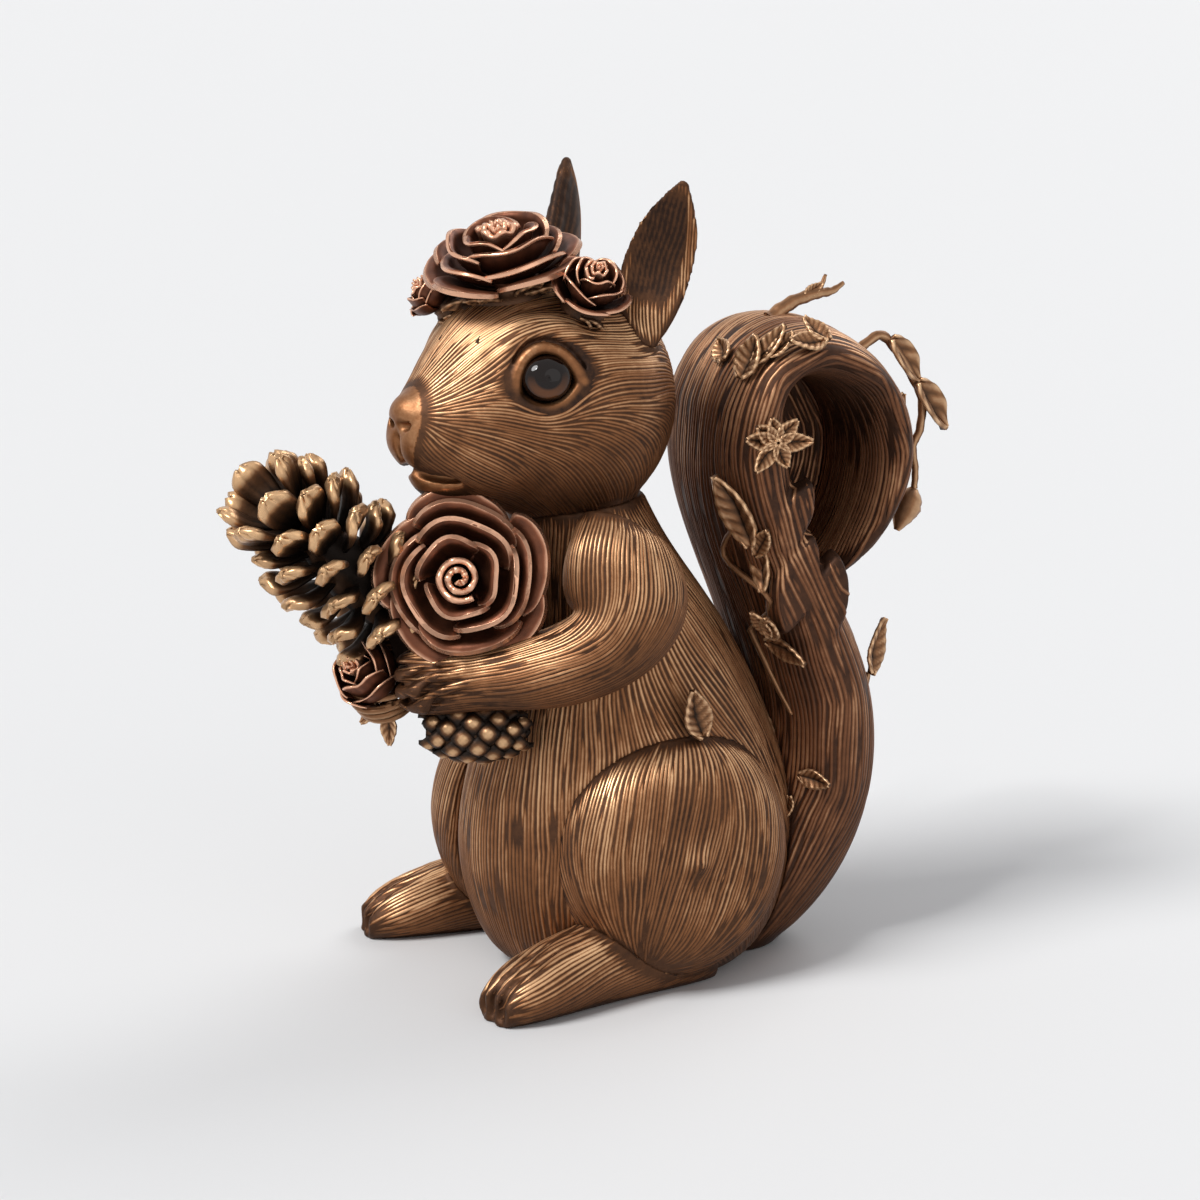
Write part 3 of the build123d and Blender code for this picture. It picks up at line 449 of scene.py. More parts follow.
# Wear of the points round a rib, and the faces that close its two ends
RIB_WEAR = (0.10, 0.66, 1.0, 0.66, 0.10, 0.0)
RIB_START = ((2, 1, 0, 5), (5, 4, 3, 2))
RIB_END = ((0, 1, 2, 5), (2, 3, 4, 5))


def trace_fur(points, quads, flow, gap, mask, seed):
    """Lines that follow a flow over a skin, a gap apart, as lists of (place, normal) pairs."""
    tree = skin_tree(points, quads)
    corners = points[quads]
    centres = corners.mean(axis=1)
    normals = unit(np.cross(corners[:, 2] - corners[:, 0], corners[:, 3] - corners[:, 1]))
    if (normals * (centres - centres.mean(axis=0))).sum() < 0:
        normals = -normals
    headings = flow(centres, normals)
    headings = unit(headings - normals * (headings * normals).sum(axis=1, keepdims=True))
    bends = np.array([noise.noise(Vector(c) / WAVE_LENGTH + Vector((seed, 0, 0))) for c in centres[::7]])
    bends = np.repeat(bends, 7)[:len(centres)] * WAVE * 4
    headings = unit(headings + np.cross(normals, headings) * bends[:, None])
    open_faces = mask(centres, normals)
    headings = [Vector(h) for h in headings.tolist()]
    facing = [Vector(n) for n in normals.tolist()]
    step = gap * STRIDE
    taken = {}
    lines = []

    def cell(p):
        return int(p.x // gap), int(p.y // gap), int(p.z // gap)

    def crowded(p, limit):
        cx, cy, cz = cell(p)
        limit = limit * limit
        for i in (cx - 1, cx, cx + 1):
            for j in (cy - 1, cy, cy + 1):
                for k in (cz - 1, cz, cz + 1):
                    for q in taken.get((i, j, k), ()):
                        if (q - p).length_squared < limit:
                            return True
        return False

    def walk(place, face, sign):
        row = []
        heading = headings[face] * sign
        for _ in range(int(LONGEST / step)):
            spot, _, face, _ = tree.find_nearest(place + heading * step, gap * 2)
            if face is None or not open_faces[face]:
                break
            turn = headings[face] * sign
            if turn.dot(heading) < SHARPEST_TURN or crowded(spot, gap * APART):
                break
            row.append((spot, facing[face]))
            place = spot
            heading = turn
        return row

    for first in np.random.default_rng(seed).permutation(len(quads)).tolist():
        queue = [(Vector(centres[first].tolist()), first)]
        for place, start in queue:
            if not open_faces[start] or crowded(place, gap * START_APART):
                continue
            behind = walk(place, start, -1)
            row = behind[::-1] + [(place, facing[start])] + walk(place, start, 1)
            if len(row) < 3:
                continue
            lines.append(row)
            spots = [spot for spot, _ in row]
            spots += [(one + two) / 2 for one, two in zip(spots, spots[1:])]
            for spot in spots:
                taken.setdefault(cell(spot), []).append(spot)
            for index in range(1, len(row) - 1, 3):
                spot, normal = row[index]
                aside = (row[index + 1][0] - spot).cross(normal).normalized() * gap
                for edge in (spot + aside, spot - aside):
                    near, _, found, _ = tree.find_nearest(edge, gap)
                    if found is not None:
                        queue.append((near, found))
    return lines


def mottle(spots):
    """Broad patches where the patina is deeper or more rubbed."""
    spots = [Vector(spot) for spot in spots]
    return np.array([0.20 * noise.noise(spot / 17) + 0.08 * noise.noise(spot / 6) for spot in spots])


def ribs(lines, gap, seed):
    """Closed ribs along traced lines: points, faces and each point's wear, with painted light that makes
    ribs facing up brighter and ribs facing down darker.
    """
    rng = np.random.default_rng(seed + 7)
    points = []
    faces = []
    wear_and_light = []
    base = 0
    for row in lines:
        count = len(row)
        tone = rng.uniform(0.74, 1.0)
        width = rng.uniform(0.50, 0.60) * gap
        high = rng.uniform(0.8, 1.15) * RIB_HEIGHT * gap
        spots = np.array([r[0][:] for r in row])
        ups = np.array([r[1][:] for r in row])
        runs = unit(np.gradient(spots, axis=0))
        sides = unit(np.cross(ups, runs))
        t = np.linspace(0, 1, count)
        swell = np.clip(np.minimum(t, 1 - t) * count / 3.2, 0, 1)[:, None] ** 0.7
        swell = np.maximum(swell, 0.12)
        sunk = ups * gap * 0.12
        lift = ups * high * swell
        across = sides * width * swell
        ring = (spots + across - sunk, spots + across * 0.62 + lift * 0.62 - sunk, spots + lift - sunk,
                spots - across * 0.62 + lift * 0.62 - sunk, spots - across - sunk, spots - ups * gap * 0.45)
        points.append(np.stack(ring, axis=1).reshape(-1, 3))
        # Painted light: a rib is brighter where the skin faces up and darker where it faces down, as light
        # from above falls; the mottle adds broad random patches.
        painted_top_light = 0.42 + 0.56 * ease(ups[:, 2:], -0.75, 0.85) + mottle(spots)[:, None]
        wear_and_light.append((np.array(RIB_WEAR)[None] * (tone * swell * painted_top_light)).reshape(-1))
        index = np.arange(count - 1)[:, None] * 6 + base
        for a in range(6):
            b = (a + 1) % 6
            faces.append(np.concatenate((index + a, index + b, index + 6 + b, index + 6 + a), axis=1))
        faces.append(np.array(RIB_START) + base)
        faces.append(np.array(RIB_END) + base + 6 * (count - 1))
        base += 6 * count
    return np.concatenate(points), np.concatenate(faces), np.concatenate(wear_and_light)


def guided_flow(spine, power, centres, normals):
    """Along a line of points, by the nearest of its spans."""
    spine = np.array(spine, float)
    middles = (spine[:-1] + spine[1:]) / 2
    runs = unit(spine[1:] - spine[:-1])
    gaps = ((centres[:, None] - middles[None]) ** 2).sum(axis=2) + 4
    weights = gaps ** (-power / 2)
    return (weights[:, :, None] * runs[None]).sum(axis=1) / weights.sum(axis=1, keepdims=True)


def head_flow(centres, normals):
    """Back from the nose, round the eyes, down over the cheeks and neck."""
    s, f, u = from_head(centres)
    away = unit(np.stack((s, f, u), axis=1) - NOSE_TOP)
    lower = np.clip((4 - u) / 22, 0, 1) * np.clip((44 - f) / 30, 0, 1)
    away[:, 2] -= 1.25 * lower
    away[:, 1] *= 1 - 0.5 * np.clip((-16 - u) / 14, 0, 1)
    heading = away[:, :1] * HEAD_SIDE + away[:, 1:2] * HEAD_FORWARD + away[:, 2:] * UP
    for side in (1, -1):
        middle, along, up, gaze = eye_axes(side)
        off = centres - middle
        a, b = off @ along, off @ up
        gone = np.sqrt(a * a + b * b) + 1e-6
        out = (a / gone)[:, None] * along + (b / gone)[:, None] * up
        near = (np.abs(off @ gaze) < EYE_DEPTH) & (np.linalg.norm(off, axis=1) < EYE_REACH)
        pull = np.clip(9.0 / gone, 0, 1) ** 2 * near
        heading = heading - out * ((heading * out).sum(axis=1) * pull)[:, None]
    return heading


def head_mask(centres, normals):
    """Where the head has fur: not on the nose, lips or lids."""
    s, f, u = from_head(centres)
    keep = (s / 8.5) ** 2 + ((f - 53) / 9.5) ** 2 + ((u + 3) / 12.0) ** 2 > 1
    keep &= ((s / 13.5) ** 2 + ((f - 45) / 12) ** 2 + ((u + 17.8) / 3.0) ** 2 > 1) | (f < 32)
    return keep & ~by_eye(1, centres, 11.2, 9.9) & ~by_eye(-1, centres, 11.2, 9.9)


# Finishes. Each point of a piece has a value from 0, deep and dark, to 1, rubbed bright, which on the fur's
# ribs, the ears' cups and the eyes also holds painted light and shade
def colour_ramp(tree, value, low, high, middle=None):
    """Colours along a value, each stop a position and a colour."""
    ramp = make_node(tree, "ValToRGB")
    stops = ramp.color_ramp.elements
    for stop, (position, colour) in zip(stops, (low, high)):
        stop.position = position
        stop.color = (*colour, 1)
    if middle:
        stops.new(middle[0]).color = (*middle[1], 1)
    tree.links.new(value, ramp.inputs["Fac"])
    return ramp.outputs["Color"]


def metal(name, dark, middle, bright, roughness, metallic, grain=1.0, least=0.0):
    """A patinated metal paint: dark where the value is 0, bright where it is 1, mottled and scratched; the
    value is wear, and on some pieces painted light and shade as well.
    """
    material, tree, shader = new_material(name)
    link = tree.links.new
    place = make_node(tree, "TexCoord").outputs["Object"]
    wear_and_light = make_node(tree, "Attribute", attribute_name="wear_and_light").outputs["Fac"]
    blotches = make_node(tree, "TexNoise", Scale=38.0 * grain, Detail=5.0, Roughness=0.6)
    specks = make_node(tree, "TexNoise", Scale=420.0 * grain, Detail=3.0, Roughness=0.65)
    link(place, blotches.inputs["Vector"])
    link(place, specks.inputs["Vector"])
    stain = maths(tree, "ADD", maths(tree, "MULTIPLY_ADD", blotches.outputs["Fac"], 0.26, -0.13),
                  maths(tree, "MULTIPLY_ADD", specks.outputs["Fac"], 0.22, -0.11))
    worn_and_lit = maths(tree, "ADD", maths(tree, "MAXIMUM", wear_and_light, least), stain, use_clamp=True)
    link(colour_ramp(tree, worn_and_lit, (0.06, dark), (0.97, bright), (0.50, middle)), shader.inputs["Base Color"])
    rough = make_node(tree, "MapRange", **{"To Min": min(roughness + 0.24, 1), "To Max": roughness - 0.08})
    link(worn_and_lit, rough.inputs["Value"])
    link(rough.outputs["Result"], shader.inputs["Roughness"])
    shader.inputs["Metallic"].default_value = metallic
    bump = make_node(tree, "Bump", Strength=0.35, Distance=0.0003)
    link(specks.outputs["Fac"], bump.inputs["Height"])
    link(bump.outputs["Normal"], shader.inputs["Normal"])
    return material


def eye_glass():
    """Dark brown glass, paler brown where the eyeball's values are high, which paints light on the lower
    part of its iris; clear and glossy.
    """
    material, tree, shader = new_material("eye_glass")
    wear_and_light = make_node(tree, "Attribute", attribute_name="wear_and_light").outputs["Fac"]
    colour = colour_ramp(tree, wear_and_light, (0.35, (0.007, 0.003, 0.002)), (1.0, (0.13, 0.045, 0.014)))
    tree.links.new(colour, shader.inputs["Base Color"])
    shader.inputs["Roughness"].default_value = 0.03
    shader.inputs["IOR"].default_value = 1.36
    return material


FINISHES = {name: metal(name, *how) for name, *how in (
    ("bronze", (0.024, 0.010, 0.005), (0.235, 0.094, 0.034), (0.86, 0.53, 0.285), 0.35, 0.72),
    ("tail_bronze", (0.018, 0.008, 0.005), (0.185, 0.072, 0.030), (0.74, 0.42, 0.225), 0.37, 0.70),
    ("rose_copper", (0.026, 0.009, 0.005), (0.215, 0.072, 0.034), (0.80, 0.44, 0.28), 0.30, 0.72),
    ("dark_bronze", (0.014, 0.008, 0.005), (0.165, 0.073, 0.030), (0.70, 0.43, 0.225), 0.34, 0.68),
    ("bed_bronze", (0.012, 0.007, 0.005), (0.120, 0.055, 0.025), (0.55, 0.33, 0.18), 0.45, 0.6, 3.0, 0.24),
    ("leaf_bronze", (0.018, 0.010, 0.006), (0.245, 0.112, 0.048), (0.80, 0.51, 0.29), 0.34, 0.70),
)}
FINISHES["eye_glass"] = eye_glass()


def make_piece(name, points, faces, wear_and_light, finish, *stands_for):
    """A closed mesh in the frame, from points in millimetres, instead of any nodes that it stands for."""
    mesh = bpy.data.meshes.new(name)
    faces = faces.tolist() if isinstance(faces, np.ndarray) else faces
    mesh.from_pydata((np.asarray(points, float) * MM).tolist(), [], faces)
    mesh.polygons.foreach_set("use_smooth", np.ones(len(mesh.polygons), bool))
    layer = mesh.attributes.new("wear_and_light", "FLOAT", "POINT")
    layer.data.foreach_set("value", np.asarray(wear_and_light, np.float32))
    mesh.materials.append(FINISHES[finish])
    mesh.update()
    piece = show(name, mesh)
    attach(piece, "root")
    if stands_for:
        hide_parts(*stands_for)


# Ornaments: closed sheets and tubes. A part is its points, its lists of faces and the values that set its
# colour
def sheet(grid, thick, wear_and_light):
    """A closed leaf of material about a grid of points."""
    rows, columns = grid.shape[:2]
    count = rows * columns
    normal = unit(np.cross(np.gradient(grid, axis=0), np.gradient(grid, axis=1)))
    half = normal * (np.broadcast_to(thick, (rows, columns)) / 2)[..., None]
    points = np.concatenate(((grid + half).reshape(-1, 3), (grid - half).reshape(-1, 3)))
    index = np.arange(count).reshape(rows, columns)
    top = np.stack((index[:-1, :-1], index[1:, :-1], index[1:, 1:], index[:-1, 1:]), axis=-1).reshape(-1, 4)
    edge = np.concatenate((index[0], index[1:, -1], index[-1, -2::-1], index[-2:0:-1, 0]))
    after = np.roll(edge, -1)
    side = np.stack((edge, after, after + count, edge + count), axis=1)
    wear_and_light = np.broadcast_to(wear_and_light, (rows, columns)).reshape(-1)
    return points, [top, top[:, ::-1] + count, side], np.concatenate((wear_and_light, wear_and_light))


def wound(rows, columns):
    """A grid's numbers, and quads over it where its last column meets its first."""
    index = np.arange(rows * columns).reshape(rows, columns)
    after = np.roll(index, -1, axis=1)
    return index, np.stack((index[:-1], index[1:], after[1:], after[:-1]), axis=-1).reshape(-1, 4)


def tube(path, radii, sides, wear_and_light, count, lumps=0.0):
    """A closed tube through points, its radii spread along it."""
    path = smooth_line(path, count)
    radii = np.interp(np.linspace(0, 1, count), np.linspace(0, 1, len(radii)), radii)
    runs = unit(np.gradient(path, axis=0))
    hint = UP if abs(runs[0] @ UP) < 0.9 else np.array((1.0, 0, 0))
    ups = []
    for run in runs:
        hint = unit(hint - run * (hint @ run))
        ups.append(hint)
    ups = np.array(ups)
    asides = np.cross(runs, ups)
    angles = np.arange(sides) * 2 * pi / sides
    swell = 1 + lumps * np.sin(np.arange(count)[:, None] * 1.9 + 3 * np.cos(angles)[None])
    ring = np.cos(angles)[None, :, None] * ups[:, None] + np.sin(angles)[None, :, None] * asides[:, None]
    points = path[:, None] + ring * (radii[:, None] * swell)[..., None]
    index, walls = wound(count, sides)
    worn_and_lit = np.broadcast_to(wear_and_light + 0.25 * np.cos(angles * 3 + 1)[None], (count, sides)).reshape(-1)
    return points.reshape(-1, 3), [walls[:, ::-1], index[:1], index[-1:, ::-1]], worn_and_lit


def ornament(name, parts, finish, node):
    """A piece made of several parts."""
    faces = []
    base = 0
    for spots, lists, _ in parts:
        for group in lists:
            faces.extend((group + base).tolist())
        base += len(spots)
    points = np.concatenate([part[0] for part in parts])
    make_piece(name, points, faces, np.concatenate([part[2] for part in parts]), finish, node)


def axes_along(z, hint):
    """Three axes with the last along a direction and the first near a hint."""
    x = unit(hint - z * (z @ hint))
    return np.array((x, np.cross(z, x), z))


def axes_for(opens):
    """Three axes with the last along a direction."""
    z = unit(opens)
    return axes_along(z, HEAD_FORWARD if abs(z @ UP) > 0.95 else UP)


def seated(parts, spot, axes):
    """Parts moved from their own axes to their seat."""
    return [(points @ axes + np.array(spot, float), faces, wear_and_light) for points, faces, wear_and_light in parts]


# Whorls of petals: how many, base, belly and rim radii, low and high ends, half angle, as shares
FULL_ROSE = ((5, 0.42, 0.88, 1.00, 0.00, 0.40, 46), (4, 0.38, 0.82, 0.83, 0.07, 0.64, 57),
             (3, 0.28, 0.72, 0.64, 0.17, 0.94, 72), (3, 0.21, 0.47, 0.42, 0.30, 0.98, 70))
HALF_ROSE = ((5, 0.40, 0.95, 1.00, 0.00, 0.50, 46), (4, 0.34, 0.84, 0.72, 0.05, 0.78, 58),
             (3, 0.24, 0.58, 0.46, 0.16, 1.00, 72))
BUD = ((4, 0.30, 1.22, 0.84, 0.00, 0.72, 60), (3, 0.30, 1.10, 0.60, 0.10, 0.95, 74),
       (3, 0.20, 0.66, 0.36, 0.20, 1.00, 70))
HEART_TURNS = 2.2
GOLDEN = pi * (3 - sqrt(5))


def rose_heart(radius, height, spin, heart):
    """The wound petal in the middle of a rose."""
    t = np.linspace(0, 1, 64)[:, None]
    v = np.linspace(0, 1, 9)[None]
    angle = spin + 2 * pi * HEART_TURNS * t + 0 * v
    reach = radius * (0.035 + (heart - 0.035) * t) * (1 + 0.10 * ease(v, 0.7, 1))
    rise = height * (0.30 + (0.72 - 0.14 * t + 0.05 * np.sin(5 * angle)) * v)
    grid = np.stack((reach * np.cos(angle), reach * np.sin(angle), rise), axis=-1)
    return sheet(grid, radius * 0.045 + radius * 0.03 * ease(v, 0.6, 1), 0.06 + 0.94 * ease(v, 0.45, 1))


def rose(seat, opens, radius, height, whorls, spin, heart=0.27):
    """A rose of curled petals round a wound heart."""
    parts = [rose_heart(radius, height, spin, heart)]
    u = np.linspace(-1, 1, 23)[:, None]
    v = np.sin(np.linspace(0, pi / 2, 19))[None]
    for order, (count, base, belly, rim, low, high, half) in enumerate(whorls):
        for petal in range(count):
            middle = spin + 2 * pi * (petal + 0.37 * order) / count + 0.12 * sin(petal * 2.3 + order)
            size = 1 + 0.05 * sin(petal * 3.1 + order * 1.7)
            short = v * (1 - 0.30 * np.abs(u) ** 2.6)
            angle = middle + radians(half) * u * (0.72 + 0.28 * short)
            out = (1 - short) ** 2 * base + 2 * short * (1 - short) * belly + short**2 * rim * size
            up = low + (high - low) * (2 * short * (1 - short) * 0.36 + short**2)
            curl = ease(v, 0.80, 1.0) * (1 - 0.4 * u * u)
            out = out * (1 + 0.075 * u) + 0.075 * curl * (1 + 0.5 * (order == 0))
            out = (out + 0.022 * np.sin(5 * angle) * v) * radius
            up = up - 0.10 * curl * curl + 0.035 * np.sin(4.3 * angle + petal) * v**2
            grid = np.stack((out * np.cos(angle), out * np.sin(angle), up * height), axis=-1)
            thick = radius * (0.036 + 0.036 * ease(v, 0.80, 1)) * (1 - 0.35 * np.abs(u) ** 3)
            rim_wear = np.maximum(ease(v, 0.90, 0.995) + 0 * u, 0.75 * ease(np.abs(u), 0.88, 1.0) * v)
            worn_and_lit = 0.06 + 0.34 * v * (1 - 0.4 * np.abs(u)) + 0.07 * np.sin(17 * angle) * v + 0.74 * rim_wear
            parts.append(sheet(grid, thick, worn_and_lit))
    parts.append(tube([(0, 0, -1.5), (0, 0, 0.16 * height), (0, 0, 0.34 * height)],
                      [0.46 * radius, 0.50 * radius, 0.22 * radius], 16, 0.02, 8))
    return seated(parts, seat, axes_for(opens))


def about(angle):
    """The ways outward and along at an angle about Z."""
    return np.array((cos(angle), sin(angle), 0)), np.array((-sin(angle), cos(angle), 0))


def open_cone(seat, heading, length, radius, count):
    """An open pine cone: thick round-ended scales about a core, splayed more upright towards its tip."""
    parts = [tube([(0, 0, -1), (0, 0, length * 0.4), (0, 0, length * 0.86)],
                  [radius * 0.30, radius * 0.36, radius * 0.10], 12, 0.02, 10)]
    v = np.sin(np.linspace(0, pi / 2, 19))[:, None]
    u = np.linspace(-1, 1, 11)[None]
    for number in range(count):
        t = number / (count - 1)
        tilt = radians(102 - 66 * t**1.15)
        radial, aside = about(number * GOLDEN)
        run = radial * sin(tilt) + UP * cos(tilt)
        face = UP * sin(tilt) - radial * cos(tilt)
        root = radial * radius * 0.24 * (1 - 0.7 * t) + UP * length * (0.03 + 0.74 * t**0.9)
        reach = radius * (0.58 + 0.26 * t) * (1 + 0.08 * sin(number * 2.1))
        wide = radius * (0.225 + 0.025 * sin(number * 1.3)) * (1 - 0.12 * t)
        tip = np.clip(1 - (np.clip(v - 0.84, 0, 1) / 0.165) ** 2, 0.06, 1)
        shape = (0.45 + 0.55 * ease(v, 0.1, 0.7)) * np.sqrt(tip)
        across = wide * shape * u
        lift = reach * 0.16 * v**2.2 - wide * 0.30 * u * u * shape + 0.25 * np.sin(u * 8.5 + number) * v
        grid = root + run * (reach * v)[..., None] + aside * across[..., None] + face * lift[..., None]
        thick = (1.5 + 2.3 * ease(v, 0.55, 0.85)) * (1 - 0.45 * u * u) * (1 - 0.45 * ease(v, 0.9, 1.0))
        worn_and_lit = 0.03 + 0.22 * ease(v, 0.30, 0.75) + 0.66 * ease(v, 0.72, 0.92)
        parts.append(sheet(grid, thick, worn_and_lit + 0.10 * np.sin(u * 11 + number) * v))
    return seated(parts, seat, axes_for(heading))


def shut_cone(seat, heading, length, radius, count):
    """A shut cone: a long ball covered with lozenge scales, each with a raised bright middle."""
    def outline(t):
        return radius * 0.88 * np.sin(pi * (0.10 + 0.82 * t)) ** 0.62

    steps = np.linspace(0, 1, 12)
    parts = [tube([(0, 0, length * s) for s in steps], [outline(s) for s in steps], 16, 0.02, 24)]
    p = np.linspace(-1, 1, 7)[:, None]
    q = np.linspace(-1, 1, 7)[None]
    for number in range(count):
        t = (number + 0.7) / (count + 0.4)
        radial, aside = about(number * GOLDEN)
        here = float(outline(t))
        size = radius * 0.37 * (0.55 + 0.45 * here / radius)
        along = (p + q) / 2 * size * 1.12
        across = (p - q) / 2 * size * 1.12
        hill = (1 - np.abs(p) ** 1.7) * (1 - np.abs(q) ** 1.7)
        lift = here - across**2 / (2 * here) - 0.25 + 1.5 * hill
        grid = UP * (length * t + along)[..., None] + aside * across[..., None] + radial * lift[..., None]
        parts.append(sheet(grid, 1.3, 0.05 + 0.85 * ease(hill, 0.25, 0.95)))
    return seated(parts, seat, axes_for(heading))


def leaf(spot, heading, facing, length, width, curl=0.10, veins=6, fold=0.16):
    """A leaf with a sunk midrib, slanting veins and a lifted tip."""
    v = np.linspace(0, 1, 25)[:, None]
    u = np.linspace(-1, 1, 13)[None]
    shape = width / 2 * np.sin(pi * np.clip(v, 0.02, 0.985) ** 0.78) ** 0.80 + 0.18
    veining = np.cos(2 * pi * (veins * v - 1.1 * np.abs(u)))
    rib = np.exp(-((u * 4.2) ** 2))
    lift = width * (fold * np.abs(u) ** 1.4 + 0.030 * veining * np.abs(u) * (1 - u * u) * 3 - 0.07 * rib)
    lift = lift + length * curl * (v**2.4 - 0.25 * np.sin(pi * v)) + width * 0.03 * np.sin(9 * v + 3 * u)
    grid = np.stack((length * v + 0 * u, shape * u, lift + 1.0 + 0 * v), axis=-1)
    worn_and_lit = 0.46 + 0.20 * veining * (1 - rib) + 0.32 * ease(np.abs(u), 0.70, 0.98) - 0.40 * rib
    blade = sheet(grid, width * 0.07 + 0.45 + 0 * v * u, worn_and_lit)
    return seated([blade], spot, axes_along(unit(facing), np.array(heading, float)))[0]


def eyeball(side):
    """A flattened glass ball with an iris ring that is paler only low down, a painted light where light
    through the glass falls.
    """
    middle, along, up, gaze = eye_axes(side)
    rows, columns = 22, 32
    fall = np.linspace(0.02, pi - 0.02, rows)[:, None]
    turns = (np.arange(columns) * 2 * pi / columns)[None]
    depth = np.cos(fall)
    grid = (
        along * (6.9 * np.sin(fall) * np.cos(turns))[..., None]
        + up * (6.3 * np.sin(fall) * np.sin(turns))[..., None]
        + gaze * (np.where(depth > 0, 4.3, 3.0) * depth + 0 * turns)[..., None]
        + middle + gaze * 0.2
    )
    index, walls = wound(rows, columns)
    # Painted light: the iris ring is paler only on its lower half, where light from above falls through the
    # glass.
    low = 0.5 - 0.5 * np.sin(turns)
    worn_and_lit = ease(np.sin(fall), 0.35, 0.62) * (1 - ease(np.sin(fall), 0.80, 0.97)) * low * (depth > 0)
    return grid.reshape(-1, 3), [walls, index[:1, ::-1], index[-1:]], worn_and_lit.reshape(-1)


# Flowers of the crown: node, seat by shares of the head, way, the rose's numbers, its bed's radius and depth
CROWN_FLOWERS = (
    ("crown_rose", (-0.04, 0.225, 1.07), (0.14, 0.30, 1.0), (20, 16, FULL_ROSE, 0.5), 14.5, 9),
    ("crown_bud_left", (0.60, 0.07, 0.93), (0.62, 0.10, 0.80), (10, 13, HALF_ROSE, 1.3, 0.34), 7.0, 6),
    ("crown_buds_right", (-0.44, 0.37, 0.84), (-0.35, 0.75, 0.60), (7.5, 10, BUD, 0.4, 0.34), 5.5, 5),
    ("crown_buds_right", (-0.60, 0.18, 0.88), (-0.70, 0.40, 0.60), (7.5, 10, BUD, 2.0, 0.34), 5.5, 5),
)
CROWN_LEAVES = ((0.26, 0.38, -62), (0.46, 0.24, -25), (0.62, -0.04, 40), (-0.06, 0.42, -98),
                (-0.42, 0.06, 130), (0.16, 0.02, 84), (-0.14, 0.06, 104))


def head_share(side, forward, rise):
    """A point of the head by shares of its half width, length and half height."""
    return in_head(side * 34, forward * 84, rise * 34)


def make_flowers():
    """The crown's and the posy's roses, buds and cones."""
    crown = {}
    for node, seat, way, form, _, _ in CROWN_FLOWERS:
        crown.setdefault(node, []).extend(rose(head_share(*seat), head_way(*way), *form))
    for node, parts in crown.items():
        ornament(node + "_petals", parts, "rose_copper", node)
    for name, finish, node, parts in (
        ("posy_rose_petals", "rose_copper", "posy_rose",
         rose((14.9, -47.9, 122.1), (0.86, -0.47, 0.19), 22, 15, FULL_ROSE, 2.5)),
        ("posy_bud_petals", "rose_copper", "posy_bud",
         rose((-2.0, -65.5, 90.4), (0.30, -0.80, 0.45), 9.5, 16, BUD, 0.9, 0.32)),
        ("pinecone_scales", "dark_bronze", "pinecone",
         open_cone((-4.45, -59.6, 108.2), (0, -0.71, 0.71), 57, 25, 54)),
        ("small_cone_scales", "dark_bronze", "small_cone",
         shut_cone((10.4, -58.05, 78.4), (0.45, 1.0, -0.04), 28, 9, 52)),
    ):
        ornament(name, parts, finish, node)


def make_crown_bed(tree):
    """The dark bed under the crown's flowers, with its ring of small leaves."""
    parts = []
    for _, seat, way, _, wide, deep in CROWN_FLOWERS:
        spot, way = head_share(*seat), head_way(*way)
        parts.append(tube([spot - way * deep, spot - way * deep * 0.5, spot, spot + way * 1.5],
                          [wide, wide * 0.95, wide * 0.75, wide * 0.5], 28, 0.25, 14, 0.06))
        count = int(wide * 1.15)
        axes = axes_for(way)
        for number in range(count):
            angle = 2 * pi * (number + 0.3 * sin(number * 2.6)) / count
            out = axes[0] * cos(angle) + axes[1] * sin(angle)
            start = spot + out * wide * 0.62 - way * 1.2
            hit, normal, _, _ = tree.find_nearest(Vector(start + out * wide * 0.55 - way * 4))
            run = np.array(hit) + np.array(normal) * 1.0 - start
            facing = unit(np.array(normal) * 0.6 + out * 0.3 + way * 0.4)
            parts.append(leaf(start, run, facing, min(np.linalg.norm(run) * 1.25, 14), 5.2, 0.04, 4, 0.30))
    ornament("crown_bed", parts, "bed_bronze", "crown_band")


def make_crown_leaves(tree):
    """Leaves lying round the crown on the brow."""
    parts = []
    for side, forward, turn in CROWN_LEAVES:
        hit, normal = strike(tree, head_share(side * 0.86 - 0.01, forward * 0.80 + 0.03, 2.0), -UP)
        heading = HEAD_SIDE * cos(radians(turn)) - HEAD_FORWARD * sin(radians(turn))
        parts.append(leaf(hit + normal * 0.9, heading, normal, 12, 7.0, 0.03))
    ornament("crown_leaf_blades", parts, "leaf_bronze", "crown_leaves")


# Loops of the nest: radius and height
NEST_LOOPS = ((3.0, -7.4), (5.2, -7.0), (7.2, -6.0), (8.4, -4.6), (9.2, -3.0), (9.6, -1.4), (9.4, 0.2),
              (8.6, 1.4), (6.2, -6.4))
STRAND = 1.05


def make_nest():
    """The bowl of wound twigs under the posy's bud, each loop with its own lean, and two drop leaves."""
    parts = []
    for number, (reach, high) in enumerate(NEST_LOOPS):
        lean = 0.10 * sin(number * 2.4)
        path = []
        for step in range(15):
            angle = number * 1.7 + 2 * pi * step / 14
            wide = reach * (1 + 0.05 * sin(3 * angle + number))
            path.append((wide * cos(angle), wide * sin(angle), high + reach * lean * cos(angle)))
        parts.append(tube(path, [STRAND * 0.8, STRAND, STRAND * 0.8], 6, 0.55, 40))
    parts = seated(parts, (-2.0, -65.8, 88.6), axes_for((0.25, -0.35, 0.90)))
    parts.append(leaf((2.6, -66.0, 82.0), (0.30, -0.20, -1.0), (0.75, -0.65, 0), 9, 4.4, 0.02, 4))
    parts.append(leaf((-4.0, -66.0, 83.0), (-0.5, -0.4, -0.75), (0.4, -0.8, 0.2), 8, 4.0, 0.05, 4))
    ornament("nest_strands", parts, "leaf_bronze", "twig_nest")


